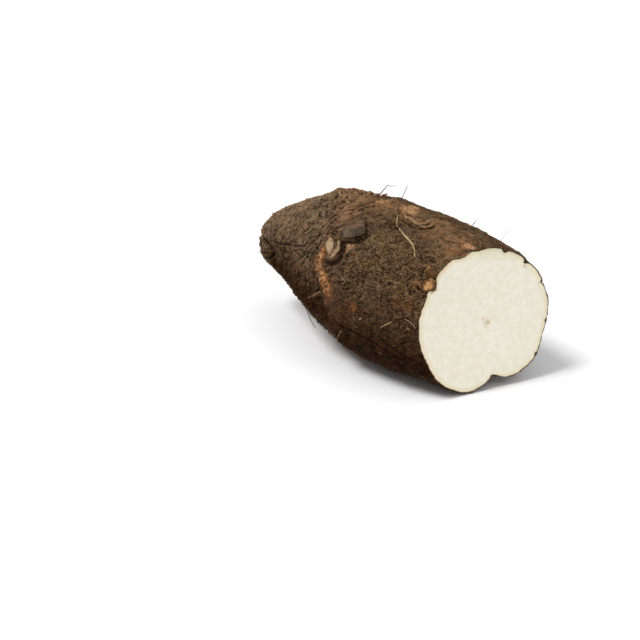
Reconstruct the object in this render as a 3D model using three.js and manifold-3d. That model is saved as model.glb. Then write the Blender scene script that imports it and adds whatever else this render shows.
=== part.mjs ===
// Purple yam: one large tuber, cut straight across, lying on its belly.
// Millimetres, +Z up. The length runs along X, blunt tip at -X, cut face at +X.
// Angles go round the length: 0 is +Y, 90 the top, 180 is -Y, 270 the belly.

import * as THREE from 'three';
import createManifold from 'manifold-3d';

// Driving dimensions: height of the centre line and half sizes at places along X.
const stations = [
  { x: -111, centre: 54, halfWidth: 17, halfHeight: 17 }, // blunt tip
  { x: -96, centre: 56, halfWidth: 23, halfHeight: 23 },
  { x: -76, centre: 58, halfWidth: 31, halfHeight: 31 },
  { x: -50, centre: 61, halfWidth: 42, halfHeight: 41 }, // end of the neck
  { x: -26, centre: 58, halfWidth: 49, halfHeight: 48 },
  { x: -1, centre: 56, halfWidth: 54, halfHeight: 52 },
  { x: 34, centre: 53, halfWidth: 56, halfHeight: 55 }, // thickest place
  { x: 66, centre: 53, halfWidth: 53, halfHeight: 53 },
  { x: 96, centre: 52, halfWidth: 48, halfHeight: 50 }, // cut face
];
const tipCap = 10; // length over which the tip rounds off
const cutTilt = 0.305; // X gained per mm of Y on the cut plane, 17 degrees off square
const around = 84; // points on a ring
const capRings = 6;
const bodyRings = 40;

// Swellings and dents: place, reach along X, reach round in degrees, height.
const swellings = [
  { name: 'hump where the neck starts', x: -46, angle: 60, along: 14, round: 22, height: 2 },
  { name: 'corner of the hump', x: -44, angle: 86, along: 6, round: 10, height: 2 },
  { name: 'mound at the root scar', x: 22, angle: 84, along: 8, round: 9, height: 1.6 },
  { name: 'belly', x: -10, angle: 270, along: 32, round: 26, height: 7 },
  { name: 'rim bulge, near top', x: 96, angle: 126, along: 30, round: 14, height: 4 },
  { name: 'rim flat, far top', x: 96, angle: 45, along: 30, round: 22, height: -1.5 },
  { name: 'rim bulge, far bottom', x: 96, angle: 318, along: 40, round: 18, height: 4 },
  { name: 'rim bulge, near bottom', x: 96, angle: 258, along: 18, round: 12, height: 2 },
  { name: 'notch in the rim', x: 97, angle: 281, along: 9, round: 7, height: -7.5 },
  { name: 'crease at the tip', x: -92, angle: 168, along: 12, round: 8, height: -2 },
  { name: 'pit at the tip', x: -74, angle: 183, along: 4, round: 7, height: -2.5 },
  { name: 'dent below the neck', x: -40, angle: 200, along: 16, round: 16, height: -1 },
];

// Uneven growth: waves along the length, bent as they go round so that no line runs straight.
const waves = [
  { height: 0.6, length: 11, bend: 1.7, bends: 2, turns: 3, twist: 40 },
  { height: 0.35, length: 5.5, bend: 2.3, bends: 3, turns: 7, twist: 25 },
];

// The neck sits lower than the body behind a slanting shoulder line.
const shoulder = { middle: -17, swing: 33, angle: 30, drop: 1.4, ease: 5, fade: 28, lip: 0.6, reach: 4 };

// Loose bark: length along the long side, width, turn of the long side away from X,
// and how far the attached and the free edge stand above the skin.
const flakes = [
  { name: 'grey flake', x: 13, angle: 127, length: 15, width: 9, turn: 20, attached: 0.4, free: 1.9 },
  { name: 'oval flake', x: 1, angle: 142, length: 11, width: 5.5, turn: 128, attached: 0.4, free: 1.1 },
  { name: 'curled flake', x: 9, angle: 146, length: 13, width: 5, turn: 105, attached: 0.3, free: 2.4 },
  { name: 'torn rim bark', x: 89, angle: 141, length: 15, width: 8, turn: 118, attached: 0.4, free: 1.6 },
];

// Root scars and stubs: each stands on the skin with its root sunk in it.
const rootRidge = {
  path: [[31, 99], [37, 101.5], [44, 102], [50, 100.5], [54, 94]], // X and angle
  radius: 1.3, lift: -0.2, ends: 0.35, steps: 10,
};
const stubs = {
  count: 9, seed: 11, x: -27, angle: 86, spreadX: 11, spreadAngle: 20,
  radius: 1.2, height: 2.2, leanX: 1.5, emerging: 0.2, foot: 1.2, end: 0.5,
};

const rootDepth = 1.5; // how deep flakes, ridge and stubs are sunk

const toRadians = THREE.MathUtils.degToRad;
const firstX = stations[0].x;
const lastX = stations[stations.length - 1].x;

// Cubic through the stations, its slope at each that of the chord between the neighbours.
function through(x, key) {
  const k = Math.max(stations.findLastIndex((s, i) => s.x < x && i < stations.length - 1), 0);
  const slopeAt = (i) => {
    const a = stations[Math.max(i - 1, 0)];
    const b = stations[Math.min(i + 1, stations.length - 1)];
    return (b[key] - a[key]) / (b.x - a.x);
  };
  const a = stations[k];
  const b = stations[k + 1];
  const h = b.x - a.x;
  const t = (x - a.x) / h;
  return (1 + 2 * t) * (1 - t) ** 2 * a[key] + t * (1 - t) ** 2 * h * slopeAt(k)
    + t * t * (3 - 2 * t) * b[key] + t * t * (t - 1) * h * slopeAt(k + 1);
}

// Angle between two directions round the tuber, in degrees, -180 to 180.
function turnBetween(a, b) {
  return THREE.MathUtils.euclideanModulo(a - b + 180, 360) - 180;
}

// How far the skin stands out from the plain oval section.
function relief(x, angle) {
  const a = toRadians(angle);
  let out = 0;
  for (const s of swellings) {
    out += s.height * Math.exp(-(((x - s.x) / s.along) ** 2) - (turnBetween(angle, s.angle) / s.round) ** 2);
  }
  const line = shoulder.middle - shoulder.swing * Math.cos(a - toRadians(shoulder.angle));
  const behind = line - x;
  const fading = Math.exp(-Math.max(behind, 0) / shoulder.fade);
  out -= shoulder.drop * fading * THREE.MathUtils.smoothstep(behind, 0, shoulder.ease);
  out += shoulder.lip * Math.exp(-(((behind + 3) / shoulder.reach) ** 2));
  for (const w of waves) {
    const bend = w.bend * Math.sin(w.bends * a);
    out += w.height * Math.sin(x / w.length + bend) * Math.cos(w.turns * a + x / w.twist);
  }
  return out;
}

// Point of the skin at a station x and an angle, lifted off it by lift.
// The rings lean over gradually so that the last one lies in the cut plane,
// and the belly is cut off level at the floor.
function skinPoint(x, angle, lift = 0) {
  const a = toRadians(angle);
  const t = THREE.MathUtils.clamp((x - firstX) / tipCap, 0, 1);
  const close = Math.sqrt(1 - (1 - t) ** 2);
  const out = relief(x, angle) + lift;
  const y = (through(x, 'halfWidth') + out) * Math.cos(a) * close;
  const z = through(x, 'centre') + (through(x, 'halfHeight') + out) * Math.sin(a) * close;
  const lean = ((x - firstX) / (lastX - firstX)) ** 1.5;
  return new THREE.Vector3(x + lean * cutTilt * y, y, Math.max(z, 0));
}

// Closed mesh from rings of equal length, with an end point at each end.
function closedRings(startPoint, rings, endPoint) {
  const n = rings[0].length;
  const points = [startPoint, ...rings.flat(), endPoint];
  const last = points.length - 1;
  const faces = [];
  const at = (ring, j) => 1 + ring * n + (j % n);
  for (let j = 0; j < n; j++) {
    faces.push(0, at(0, j + 1), at(0, j));
    for (let i = 0; i < rings.length - 1; i++) {
      faces.push(at(i, j), at(i, j + 1), at(i + 1, j + 1));
      faces.push(at(i, j), at(i + 1, j + 1), at(i + 1, j));
    }
    faces.push(last, at(rings.length - 1, j), at(rings.length - 1, j + 1));
  }
  return { points, faces };
}

// The tuber itself: skin rings from the tip to the cut plane, closed by the flat cut face.
function tuber() {
  const capStep = (i) => firstX + tipCap * (1 - Math.cos((Math.PI / 2) * (i / capRings)));
  const bodyStep = (i) => firstX + tipCap + (lastX - firstX - tipCap) * (i / bodyRings);
  const xs = [
    ...Array.from({ length: capRings }, (_, i) => capStep(i + 1)),
    ...Array.from({ length: bodyRings }, (_, i) => bodyStep(i + 1)),
  ];
  const rings = xs.map((x) => Array.from({ length: around }, (_, j) => skinPoint(x, (360 * j) / around)));
  const tip = skinPoint(firstX, 0);
  const cutMiddle = new THREE.Vector3(lastX, 0, through(lastX, 'centre'));
  return closedRings(tip, rings, cutMiddle);
}

// Place on the skin that lies u mm along X and v mm round from a flake's middle.
function offsetPlace(flake, u, v) {
  const radius = (through(flake.x, 'halfWidth') + through(flake.x, 'halfHeight')) / 2;
  return [Math.min(flake.x + u, lastX - 0.6), flake.angle + THREE.MathUtils.radToDeg(v / radius)];
}

// A scab of bark: an uneven oval plate with its underside sunk in the skin.
// It rises from the attached long edge to the free one, and its top edge is a little rounded.
function flakeSolid(flake) {
  const sides = 18;
  const rounding = 0.25;
  const turn = toRadians(flake.turn);
  const ringAt = (share, lift) => Array.from({ length: sides }, (_, j) => {
    const a = (-2 * Math.PI * j) / sides;
    const wobble = 1 + 0.08 * Math.sin(3 * a + flake.x) + 0.05 * Math.sin(5 * a + flake.angle);
    const long = (flake.length / 2) * Math.cos(a) * share * wobble;
    const short = (flake.width / 2) * Math.sin(a) * share * wobble;
    const u = long * Math.cos(turn) + short * Math.sin(turn);
    const v = -long * Math.sin(turn) + short * Math.cos(turn);
    return skinPoint(...offsetPlace(flake, u, v), lift(Math.sin(a) * share));
  });
  const top = (s) => flake.attached + (flake.free - flake.attached) * (0.5 + 0.5 * s);
  const rings = [
    ringAt(0.6, () => -rootDepth),
    ringAt(1, () => -rootDepth),
    ringAt(1, (s) => top(s) - rounding),
    ringAt(0.9, top),
    ringAt(0.5, top),
  ];
  return closedRings(
    skinPoint(flake.x, flake.angle, -rootDepth),
    rings,
    skinPoint(flake.x, flake.angle, top(0)),
  );
}

// A tapering tube with closed ends along a list of points.
function tube(points, radii, sides = 8) {
  const rings = points.map((p, i) => {
    const before = points[Math.max(i - 1, 0)];
    const after = points[Math.min(i + 1, points.length - 1)];
    const ahead = after.clone().sub(before).normalize();
    const side = new THREE.Vector3(0.2, 0.9, -0.3).cross(ahead).normalize();
    const other = ahead.clone().cross(side);
    return Array.from({ length: sides }, (_, j) => {
      const a = (2 * Math.PI * j) / sides;
      const across = side.clone().multiplyScalar(Math.cos(a)).addScaledVector(other, Math.sin(a));
      return p.clone().addScaledVector(across, radii[i]);
    });
  });
  return closedRings(points[0], rings, points[points.length - 1]);
}

// Repeatable scatter, 0 to 1.
function scatter(seed) {
  let state = seed;
  return () => {
    state = (state * 16807) % 2147483647;
    return state / 2147483647;
  };
}

function rootRidgeSolid() {
  const { path, radius, lift, ends, steps } = rootRidge;
  const curve = new THREE.CatmullRomCurve3(path.map(([x, angle]) => skinPoint(x, angle, lift)));
  const points = curve.getPoints(steps);
  const swell = (i) => Math.sin((Math.PI * (i + 1)) / (points.length + 1));
  return tube(points, points.map((_, i) => radius * (ends + (1 - ends) * swell(i))));
}

function stubSolids() {
  const next = scatter(stubs.seed);
  return Array.from({ length: stubs.count }, () => {
    const x = stubs.x + stubs.spreadX * (2 * next() - 1);
    const angle = stubs.angle + stubs.spreadAngle * (2 * next() - 1);
    const height = stubs.height * (0.5 + 0.5 * next());
    const leanX = stubs.leanX * (2 * next() - 1);
    const points = [
      skinPoint(x, angle, -rootDepth),
      skinPoint(x, angle, stubs.emerging),
      skinPoint(x + leanX, angle, height),
    ];
    return tube(points, [stubs.radius * stubs.foot, stubs.radius, stubs.radius * stubs.end], 7);
  });
}

const manifold = await createManifold();
manifold.setup();

function toManifold({ points, faces }) {
  const mesh = new manifold.Mesh({
    numProp: 3,
    vertProperties: new Float32Array(points.flatMap((p) => [p.x, p.y, p.z])),
    triVerts: new Uint32Array(faces),
  });
  mesh.merge();
  return manifold.Manifold.ofMesh(mesh);
}

const solids = [tuber(), ...flakes.map(flakeSolid), rootRidgeSolid(), ...stubSolids()].map(toManifold);
const whole = manifold.Manifold.union(solids).simplify(0.02).getMesh();

const geometry = new THREE.BufferGeometry();
const positions = new Float32Array(whole.numVert * 3);
for (let i = 0; i < whole.numVert; i++) {
  const first = whole.numProp * i;
  positions.set(whole.vertProperties.subarray(first, first + 3), 3 * i);
}
geometry.setAttribute('position', new THREE.BufferAttribute(positions, 3));
geometry.setIndex(new THREE.BufferAttribute(new Uint32Array(whole.triVerts), 1));
geometry.computeVertexNormals();

const bark = new THREE.MeshStandardMaterial({ name: 'bark', color: 0x4f3d30, roughness: 0.92, metalness: 0 });
const yam = new THREE.Mesh(geometry, bark);
yam.name = 'yam';

const part = new THREE.Group();
part.name = 'purple_yam';
part.add(yam);

export default part;
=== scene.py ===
import math

import bpy
import numpy as np
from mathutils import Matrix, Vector


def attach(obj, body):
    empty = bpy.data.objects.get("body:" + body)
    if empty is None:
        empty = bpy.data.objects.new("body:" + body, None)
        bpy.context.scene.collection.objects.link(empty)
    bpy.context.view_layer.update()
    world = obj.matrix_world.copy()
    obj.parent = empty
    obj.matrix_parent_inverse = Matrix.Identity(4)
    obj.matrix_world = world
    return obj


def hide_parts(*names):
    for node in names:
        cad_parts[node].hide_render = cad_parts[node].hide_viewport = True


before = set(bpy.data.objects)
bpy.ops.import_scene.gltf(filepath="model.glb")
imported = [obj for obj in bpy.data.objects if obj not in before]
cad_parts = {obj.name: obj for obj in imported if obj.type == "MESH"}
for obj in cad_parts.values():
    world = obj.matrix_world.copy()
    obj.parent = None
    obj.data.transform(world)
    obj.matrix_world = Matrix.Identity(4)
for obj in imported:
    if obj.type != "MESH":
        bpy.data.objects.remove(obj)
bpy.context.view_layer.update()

print("frame loaded")

# The tuber lies along X, blunt tip at -X and cut face at +X. Lengths here are in mm.
# Angles go round the length: 0 is +Y, 90 the top, 180 is -Y, 270 the belly.
metresPerMm = 0.001

form = {
    "stations": [  # x, height of the centre line, half width, half height
        (-111, 54, 17, 17),
        (-96, 56, 23, 23),
        (-76, 58, 31, 31),
        (-50, 61, 42, 41),
        (-26, 58, 49, 48),
        (-1, 56, 54, 52),
        (34, 53, 56, 55),
        (66, 53, 53, 53),
        (96, 52, 48, 50),
    ],
    "tipCap": 10,  # length over which the tip rounds off
    "cutTilt": 0.305,  # x gained per mm of y on the cut plane
    "swellings": [  # x, angle, reach along, reach round in degrees, height
        (-46, 60, 14, 22, 2),
        (-44, 86, 6, 10, 2),
        (22, 84, 8, 9, 1.6),
        (-10, 270, 32, 26, 7),
        (96, 126, 30, 14, 4),
        (96, 45, 30, 22, -1.5),
        (96, 318, 40, 18, 4),
        (96, 258, 18, 12, 2),
        (97, 282.5, 9, 8, -7.5),
        (-92, 168, 12, 8, -2),
        (-74, 183, 4, 7, -2.5),
        (-40, 200, 16, 16, -1),
    ],
    "waves": [  # height, length, bend, bends, turns, twist
        (0.6, 11, 1.7, 2, 3, 40),
        (0.35, 5.5, 2.3, 3, 7, 25),
    ],
    "shoulder": {"middle": -17, "swing": 33, "angle": 30, "drop": 1.4, "ease": 5,
                 "fade": 28, "lip": 0.6, "reach": 4},
}
stations = np.array(form["stations"], float)
firstX, lastX = stations[0, 0], stations[-1, 0]


def smoothStep(value, low, high):
    t = np.clip((value - low) / (high - low), 0, 1)
    return t * t * (3 - 2 * t)


# Cubic through the stations, its slope at each that of the chord between the neighbours.
def through(x, column):
    xs, ys = stations[:, 0], stations[:, column]
    after, before = np.append(xs[1:], xs[-1]), np.append(xs[0], xs[:-1])
    rise = np.append(ys[1:], ys[-1]) - np.append(ys[0], ys[:-1])
    slope = rise / (after - before)
    k = np.clip(np.searchsorted(xs, x, side="right") - 1, 0, len(xs) - 2)
    h = xs[k + 1] - xs[k]
    t = (x - xs[k]) / h
    return ((1 + 2 * t) * (1 - t) ** 2 * ys[k] + t * (1 - t) ** 2 * h * slope[k]
            + t * t * (3 - 2 * t) * ys[k + 1] + t * t * (t - 1) * h * slope[k + 1])


# Signed turn from one angle to another, in degrees, -180 to 180.
def turnBetween(a, b):
    return (a - b + 180) % 360 - 180


# How far behind the slanting shoulder line a place is, in mm.
def behindShoulder(x, angle):
    s = form["shoulder"]
    return s["middle"] - s["swing"] * np.cos(np.radians(angle - s["angle"])) - x


# Height of the skin over its plain oval section: a bell for each swelling, a sunk step
# behind the shoulder that fades towards the tip, and waves bent as they go round.
def relief(x, angle):
    out = np.zeros_like(x)
    for place, turn, along, around, height in form["swellings"]:
        out += height * np.exp(-((x - place) / along) ** 2 - (turnBetween(angle, turn) / around) ** 2)
    s = form["shoulder"]
    behind = behindShoulder(x, angle)
    out -= s["drop"] * np.exp(-np.maximum(behind, 0) / s["fade"]) * smoothStep(behind, 0, s["ease"])
    out += s["lip"] * np.exp(-((behind + 3) / s["reach"]) ** 2)
    a = np.radians(angle)
    for height, length, bend, bends, turns, twist in form["waves"]:
        out += height * np.sin(x / length + bend * np.sin(bends * a)) * np.cos(turns * a + x / twist)
    return out


# Point of the skin at a station x and an angle: an oval section, rounded off at the tip,
# with rings that lean over gradually until the last lies in the cut plane.
def skinPoint(x, angle, lift=0.0):
    x, angle = np.broadcast_arrays(np.asarray(x, float), np.asarray(angle, float))
    a = np.radians(angle)
    t = np.clip((x - firstX) / form["tipCap"], 0, 1)
    close = np.sqrt(1 - (1 - t) ** 2)
    out = relief(x, angle) + lift
    y = (through(x, 2) + out) * np.cos(a) * close
    z = through(x, 1) + (through(x, 3) + out) * np.sin(a) * close
    lean = np.clip((x - firstX) / (lastX - firstX), 0, 1) ** 1.5
    return np.stack([x + lean * form["cutTilt"] * y, y, z], -1)


def unit(vectors):
    return vectors / np.maximum(np.linalg.norm(vectors, axis=-1, keepdims=True), 1e-9)


# Outward normals of a grid of rings, from the cross product of its two directions.
def gridNormals(points):
    along = np.gradient(points, axis=0)
    around = np.roll(points, -1, axis=1) - np.roll(points, 1, axis=1)
    return unit(np.cross(around, along))


slopes = unit(np.random.RandomState(5).normal(size=(256, 3)))


def cellNumber(cell, seed):
    mixed = cell[..., 0] * 73856093 ^ cell[..., 1] * 19349663 ^ cell[..., 2] * 83492791 ^ seed * 2654435
    mixed = (mixed ^ (mixed >> 13)) * 1274126177 & 0xFFFFFFFF
    return mixed ^ (mixed >> 16)


# Smooth random field, about -1 to 1: a random slope at each corner of a unit lattice,
# blended between corners by a quintic curve.
def softNoise(points, seed):
    cell = np.floor(points).astype(np.int64)
    part = points - cell
    fade = part ** 3 * (part * (part * 6 - 15) + 10)
    total = np.zeros(points.shape[:-1])
    for corner in np.ndindex(2, 2, 2):
        step = np.array(corner)
        slope = slopes[cellNumber(cell + step, seed) & 255]
        weight = np.prod(np.where(step == 1, fade, 1 - fade), axis=-1)
        total += weight * ((part - step) * slope).sum(-1)
    return total * 1.7


# Distance to the nearest and to the second nearest of random points, one to a unit cell,
# and a random level, 0 to 1, that belongs to the nearest.
def crumbNoise(points, seed):
    cell = np.floor(points).astype(np.int64)
    nearest = np.full(points.shape[:-1], 9.0)
    second = np.full(points.shape[:-1], 9.0)
    level = np.zeros(points.shape[:-1])
    for offset in np.ndindex(3, 3, 3):
        there = cell + np.array(offset) - 1
        number = cellNumber(there, seed)
        spot = np.stack([number & 255, (number >> 8) & 255, (number >> 16) & 255], -1) / 255
        away = np.linalg.norm(there + spot - points, axis=-1)
        second = np.minimum(second, np.maximum(nearest, away))
        level = np.where(away < nearest, ((number >> 5) & 255) / 255, level)
        nearest = np.minimum(nearest, away)
    return nearest, second, level


# The noise field stretched by a length in mm along the tuber and another across it.
def stretched(points, along, across):
    return points / np.array([along, across, across])


# The points turned about the tuber's middle line, further with every mm along it.
def twisted(points, rate):
    turn = points[..., 0] * rate
    y, z = points[..., 1], points[..., 2] - 55
    return np.stack([points[..., 0], y * np.cos(turn) - z * np.sin(turn), y * np.sin(turn) + z * np.cos(turn)], -1)


# Distance in mm, along and round the skin, to a line through places (x, angle).
def lineDistance(x, angle, places):
    best = np.full(x.shape, 1e9)
    for (x0, a0), (x1, a1) in zip(places[:-1], places[1:]):
        radius = float(through(np.array((x0 + x1) / 2), 2)) * math.pi / 180
        step = np.array([x1 - x0, (a1 - a0) * radius])
        px, pa = x - x0, turnBetween(angle, a0) * radius
        t = np.clip((px * step[0] + pa * step[1]) / (step @ step), 0, 1)
        best = np.minimum(best, np.hypot(px - t * step[0], pa - t * step[1]))
    return best


# How near each place is to a spot on the skin, 1 at its middle and 0 at its edge.
def nearSpot(x, angle, spot):
    place, turn, along, across = spot
    radius = float(through(np.array(float(place)), 2)) * math.pi / 180
    return np.clip(1 - np.hypot((x - place) / along, turnBetween(angle, turn) * radius / across), 0, 1)


def nearestSpot(x, angle, spots):
    return np.max([nearSpot(x, angle, s) for s in spots], axis=0)


# 1 on thin winding lines of a noise field, falling to 0 at a width.
def ridges(points, seed, width=1.0):
    return 1 - np.clip(np.abs(softNoise(points, seed)) / width, 0, 1)


relieves = {
    "twist": 0.0075,  # turn of the bark's grain in radians per mm along the tuber
    "swell": {"along": 6, "across": 4.2, "height": 0.7},
    "ripple": {"along": 2.9, "across": 1.7, "height": 0.68},
    "crumbs": {"size": 1.6, "height": 0.7},
    "streaks": {"along": 2.8, "across": 1.15, "height": 0.5},
    "grain": {"size": 1.2, "height": 0.15},
    "marks": {"along": 4.8, "across": 2.1, "width": 0.24, "depth": 0.95},
    "neckSwell": {"along": 4.2, "across": 6, "height": 0.6},
    "neckLean": 0.6,  # how far the neck's creases lean forwards for each mm up
    "neckStrokes": {"along": 2.1, "across": 7.5, "height": 1.25, "crease": 0.15},
    "neckLines": {"along": 1.0, "across": 3.2, "height": 1.25},
    "neckSlits": {"along": 2.8, "across": 7, "width": 0.2, "depth": 1.3},
    "collarRidges": {"along": 2.2, "across": 16, "height": 0.9},
    "wrinkles": [  # places (x, angle), reach, spacing, height
        ([(-1, 97), (-5, 108), (-9, 115), (-12, 122), (-12, 130), (-11, 139), (-8, 148), (-5, 158), (-1, 165)], 5.5, 3.4, 0.6),
        ([(21, 118.5), (15, 121), (9, 123), (2, 126.5), (-3, 132)], 2.6, 5, 0.6),
    ],
    "silk": {"x": (35, 65), "angle": 92, "reach": 42, "along": 16, "across": 1.8, "height": 0.55},
    "lumps": [  # x, angle, reach along, reach round, height
        (-46, 82, 5, 9, 1.5), (1, 71, 11, 8, 2.2), (31, 69, 8, 8, -1.2), (96, 27, 8, 12, -1.1),
        (96, 148, 4, 2.7, 2), (96, 194, 12, 22, -1.8), (96, 214, 10, 8, -0.7), (96, 237, 12, 6, 0.9), (96, 269, 8, 6, -1.2),
        (96, 336, 14, 10, -1.3), (96, 18, 10, 9, -1.1), (96, 46, 10, 5, -1), (96, 103.4, 3, 1.7, 2.4),
        (96, 109.5, 4, 2.6, -1), (96, 120, 5, 3.5, 1.1), (96, 128, 5, 3, -0.7),
        (30, 24, 14, 13, 1.3), (68, 344, 12, 11, -1.2), (2, 8, 10, 12, 1.2), (52, 312, 14, 10, 1.1), (14, 334, 9, 8, -1),
        (-60, 20, 10, 14, -1), (-52, 330, 9, 12, 1.1), (70, 26, 7, 6, 1), (40, 356, 6, 6, 0.9),
        (-2.7, 158, 3.4, 6, 1.1), (8, 168.5, 4.2, 4, 1.3), (17, 136.9, 2.4, 2.2, 0.9), (-3, 184, 4, 3, 0.9),
    ],
    "welts": [
        ([(77, 127.4), (79.5, 129.2), (82, 129.4), (85, 126.8), (89, 127)], 0.9, 0.9),  # places (x, angle), reach, height
        ([(27, 98.5), (33, 99.3), (39, 100.4), (44, 101.2), (48, 100.6)], 1.8, 0.9),
    ],
    "fibres": {"along": 16, "across": 1.9, "height": 0.8},
    "pits": {"spacing": 9, "depth": 0.8},
    "knobs": {"spacing": 19, "height": 0.8},
    "scars": [(32.8, 139.2, 3, 0.9), (46, 166, 2.4, 0.6), (62, 146, 2.6, 0.5)],  # x, angle, radius, height
    "pores": {"spots": [(32, 157, 9, 6), (30, 163, 6, 6)], "size": 2.9, "depth": 1.3},
    "cracks": [  # places (x, angle), reach, depth
        ([(-105, 161), (-97.3, 170), (-88, 174.4), (-78.7, 177.5), (-77, 184)], 2.3, 2.5),
        ([(-77.5, 181), (-75, 186.4), (-72.5, 192.5), (-73.5, 199)], 3.2, 3.0),
        ([(-79, 187), (-86, 198), (-94, 210)], 2.0, 2.0),
        ([(-81, 164.7), (-60.8, 165), (-42.7, 160.6), (-27, 153.7), (-18, 145), (-17, 141)], 1.0, 1.3),
        ([(-23.8, 164), (-23, 158), (-20.5, 151), (-17.5, 144), (-16.6, 138)], 1.7, 1.8),
        ([(-27, 126), (-30, 131), (-33, 136)], 1.3, 1.5),
        ([(-38, 113), (-41, 117), (-45, 120)], 1.4, 1.6),
        ([(-12, 150), (-14, 156), (-14.6, 162)], 1.1, 1.2),
        ([(78.6, 127.6), (81.5, 128.2), (84.6, 126), (88, 126.2)], 0.8, 0.8),
        ([(24, 196), (39, 196), (52, 198), (68, 203), (80, 210)], 1.6, 1.0),
        ([(57, 190), (72, 196), (86, 208)], 1.0, 0.8),
        ([(-43, 121), (-47, 126), (-50, 130)], 1.2, 1.3),
        ([(-36, 88), (-40, 93), (-38, 98)], 2.0, 1.8),
        ([(-23, 103.6), (-26, 98)], 2.0, 2.0),
        ([(-16.8, 103.2), (-17.5, 100.2), (-18.8, 96)], 2.6, 2.4),
        ([(-30.6, 103), (-33, 108), (-34, 112)], 1.8, 1.6),
        ([(-12, 108), (-8, 104), (-6, 99)], 1.4, 1.3),
        ([(87, 132), (84.7, 134.2), (85.4, 137.8), (87, 141)], 1.0, 1.0),
        ([(86.8, 146.6), (88.2, 147.6)], 1.5, 1.6),
        ([(-16.2, 113.6), (-15.4, 109.6)], 1.2, 1.2),
        ([(-21.2, 120), (-21.2, 117.5)], 1.2, 1.2),
        ([(6.5, 114.6), (9.5, 113.2)], 1.1, 1.0),
        ([(13.8, 116.6), (16.6, 115.4), (20, 114.9)], 1.2, 1.2),
        ([(18, 118.5), (22.5, 117.6)], 1.0, 1.0),
        ([(14.6, 116.9), (17.5, 119.5), (21, 122.5)], 1.5, 1.6),
        # The next two lines run along the free edges of the grey flake and the curled flake: grooves whose dark colour,
        # through the crack mask, is painted shadow under the flakes.
        ([(9, 137.4), (13.8, 136), (18.2, 134.3), (22.4, 131.8), (25.2, 128.8), (27.4, 125.4)], 2.1, 1.8),
        ([(11.5, 138), (14.8, 140.8), (15.4, 144), (15.2, 147.6), (13.8, 151.2), (11.2, 154), (6, 154.6)], 3.8, 2.2),
        ([(3, 149.3), (4.5, 148.3)], 1.4, 1.2),
        ([(35, 103), (41.5, 103.6), (47, 104.3), (52.3, 103.7)], 1.7, 1.2),
        ([(49.2, 101.5), (52.2, 102), (55, 99.7), (55, 96.7), (54, 93)], 1.2, 1.2),
        ([(34, 95.2), (38.4, 95.6)], 1.2, 1.1),
        ([(27.4, 101), (29.4, 102)], 1.2, 1.0),
        ([(36.4, 110), (40.2, 111.8)], 1.3, 1.0),
        ([(18, 32), (30, 28), (46, 25), (64, 17)], 1.2, 1.4),
        ([(-6, 350), (10, 345), (28, 342), (40, 335)], 1.4, 1.4),
        ([(58, 332), (74, 322), (90, 318)], 1.2, 1.2),
        ([(30, 18), (36, 12), (38, 4)], 1.0, 1.2),
        ([(-92, 32), (-76, 25), (-60, 27), (-44, 20)], 1.2, 1.6),
        ([(-70, 340), (-58, 334), (-50, 322)], 1.3, 1.5),
    ],
}


# Height in mm of the bark's lumps, which move its inside and the flesh too.
def lumpHeight(x, angle):
    rise = np.zeros_like(x)
    for place, turn, along, across, height in relieves["lumps"]:
        rise += height * np.exp(-((x - place) / along) ** 2 - (turnBetween(angle, turn) / across) ** 2)
    return rise


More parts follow.
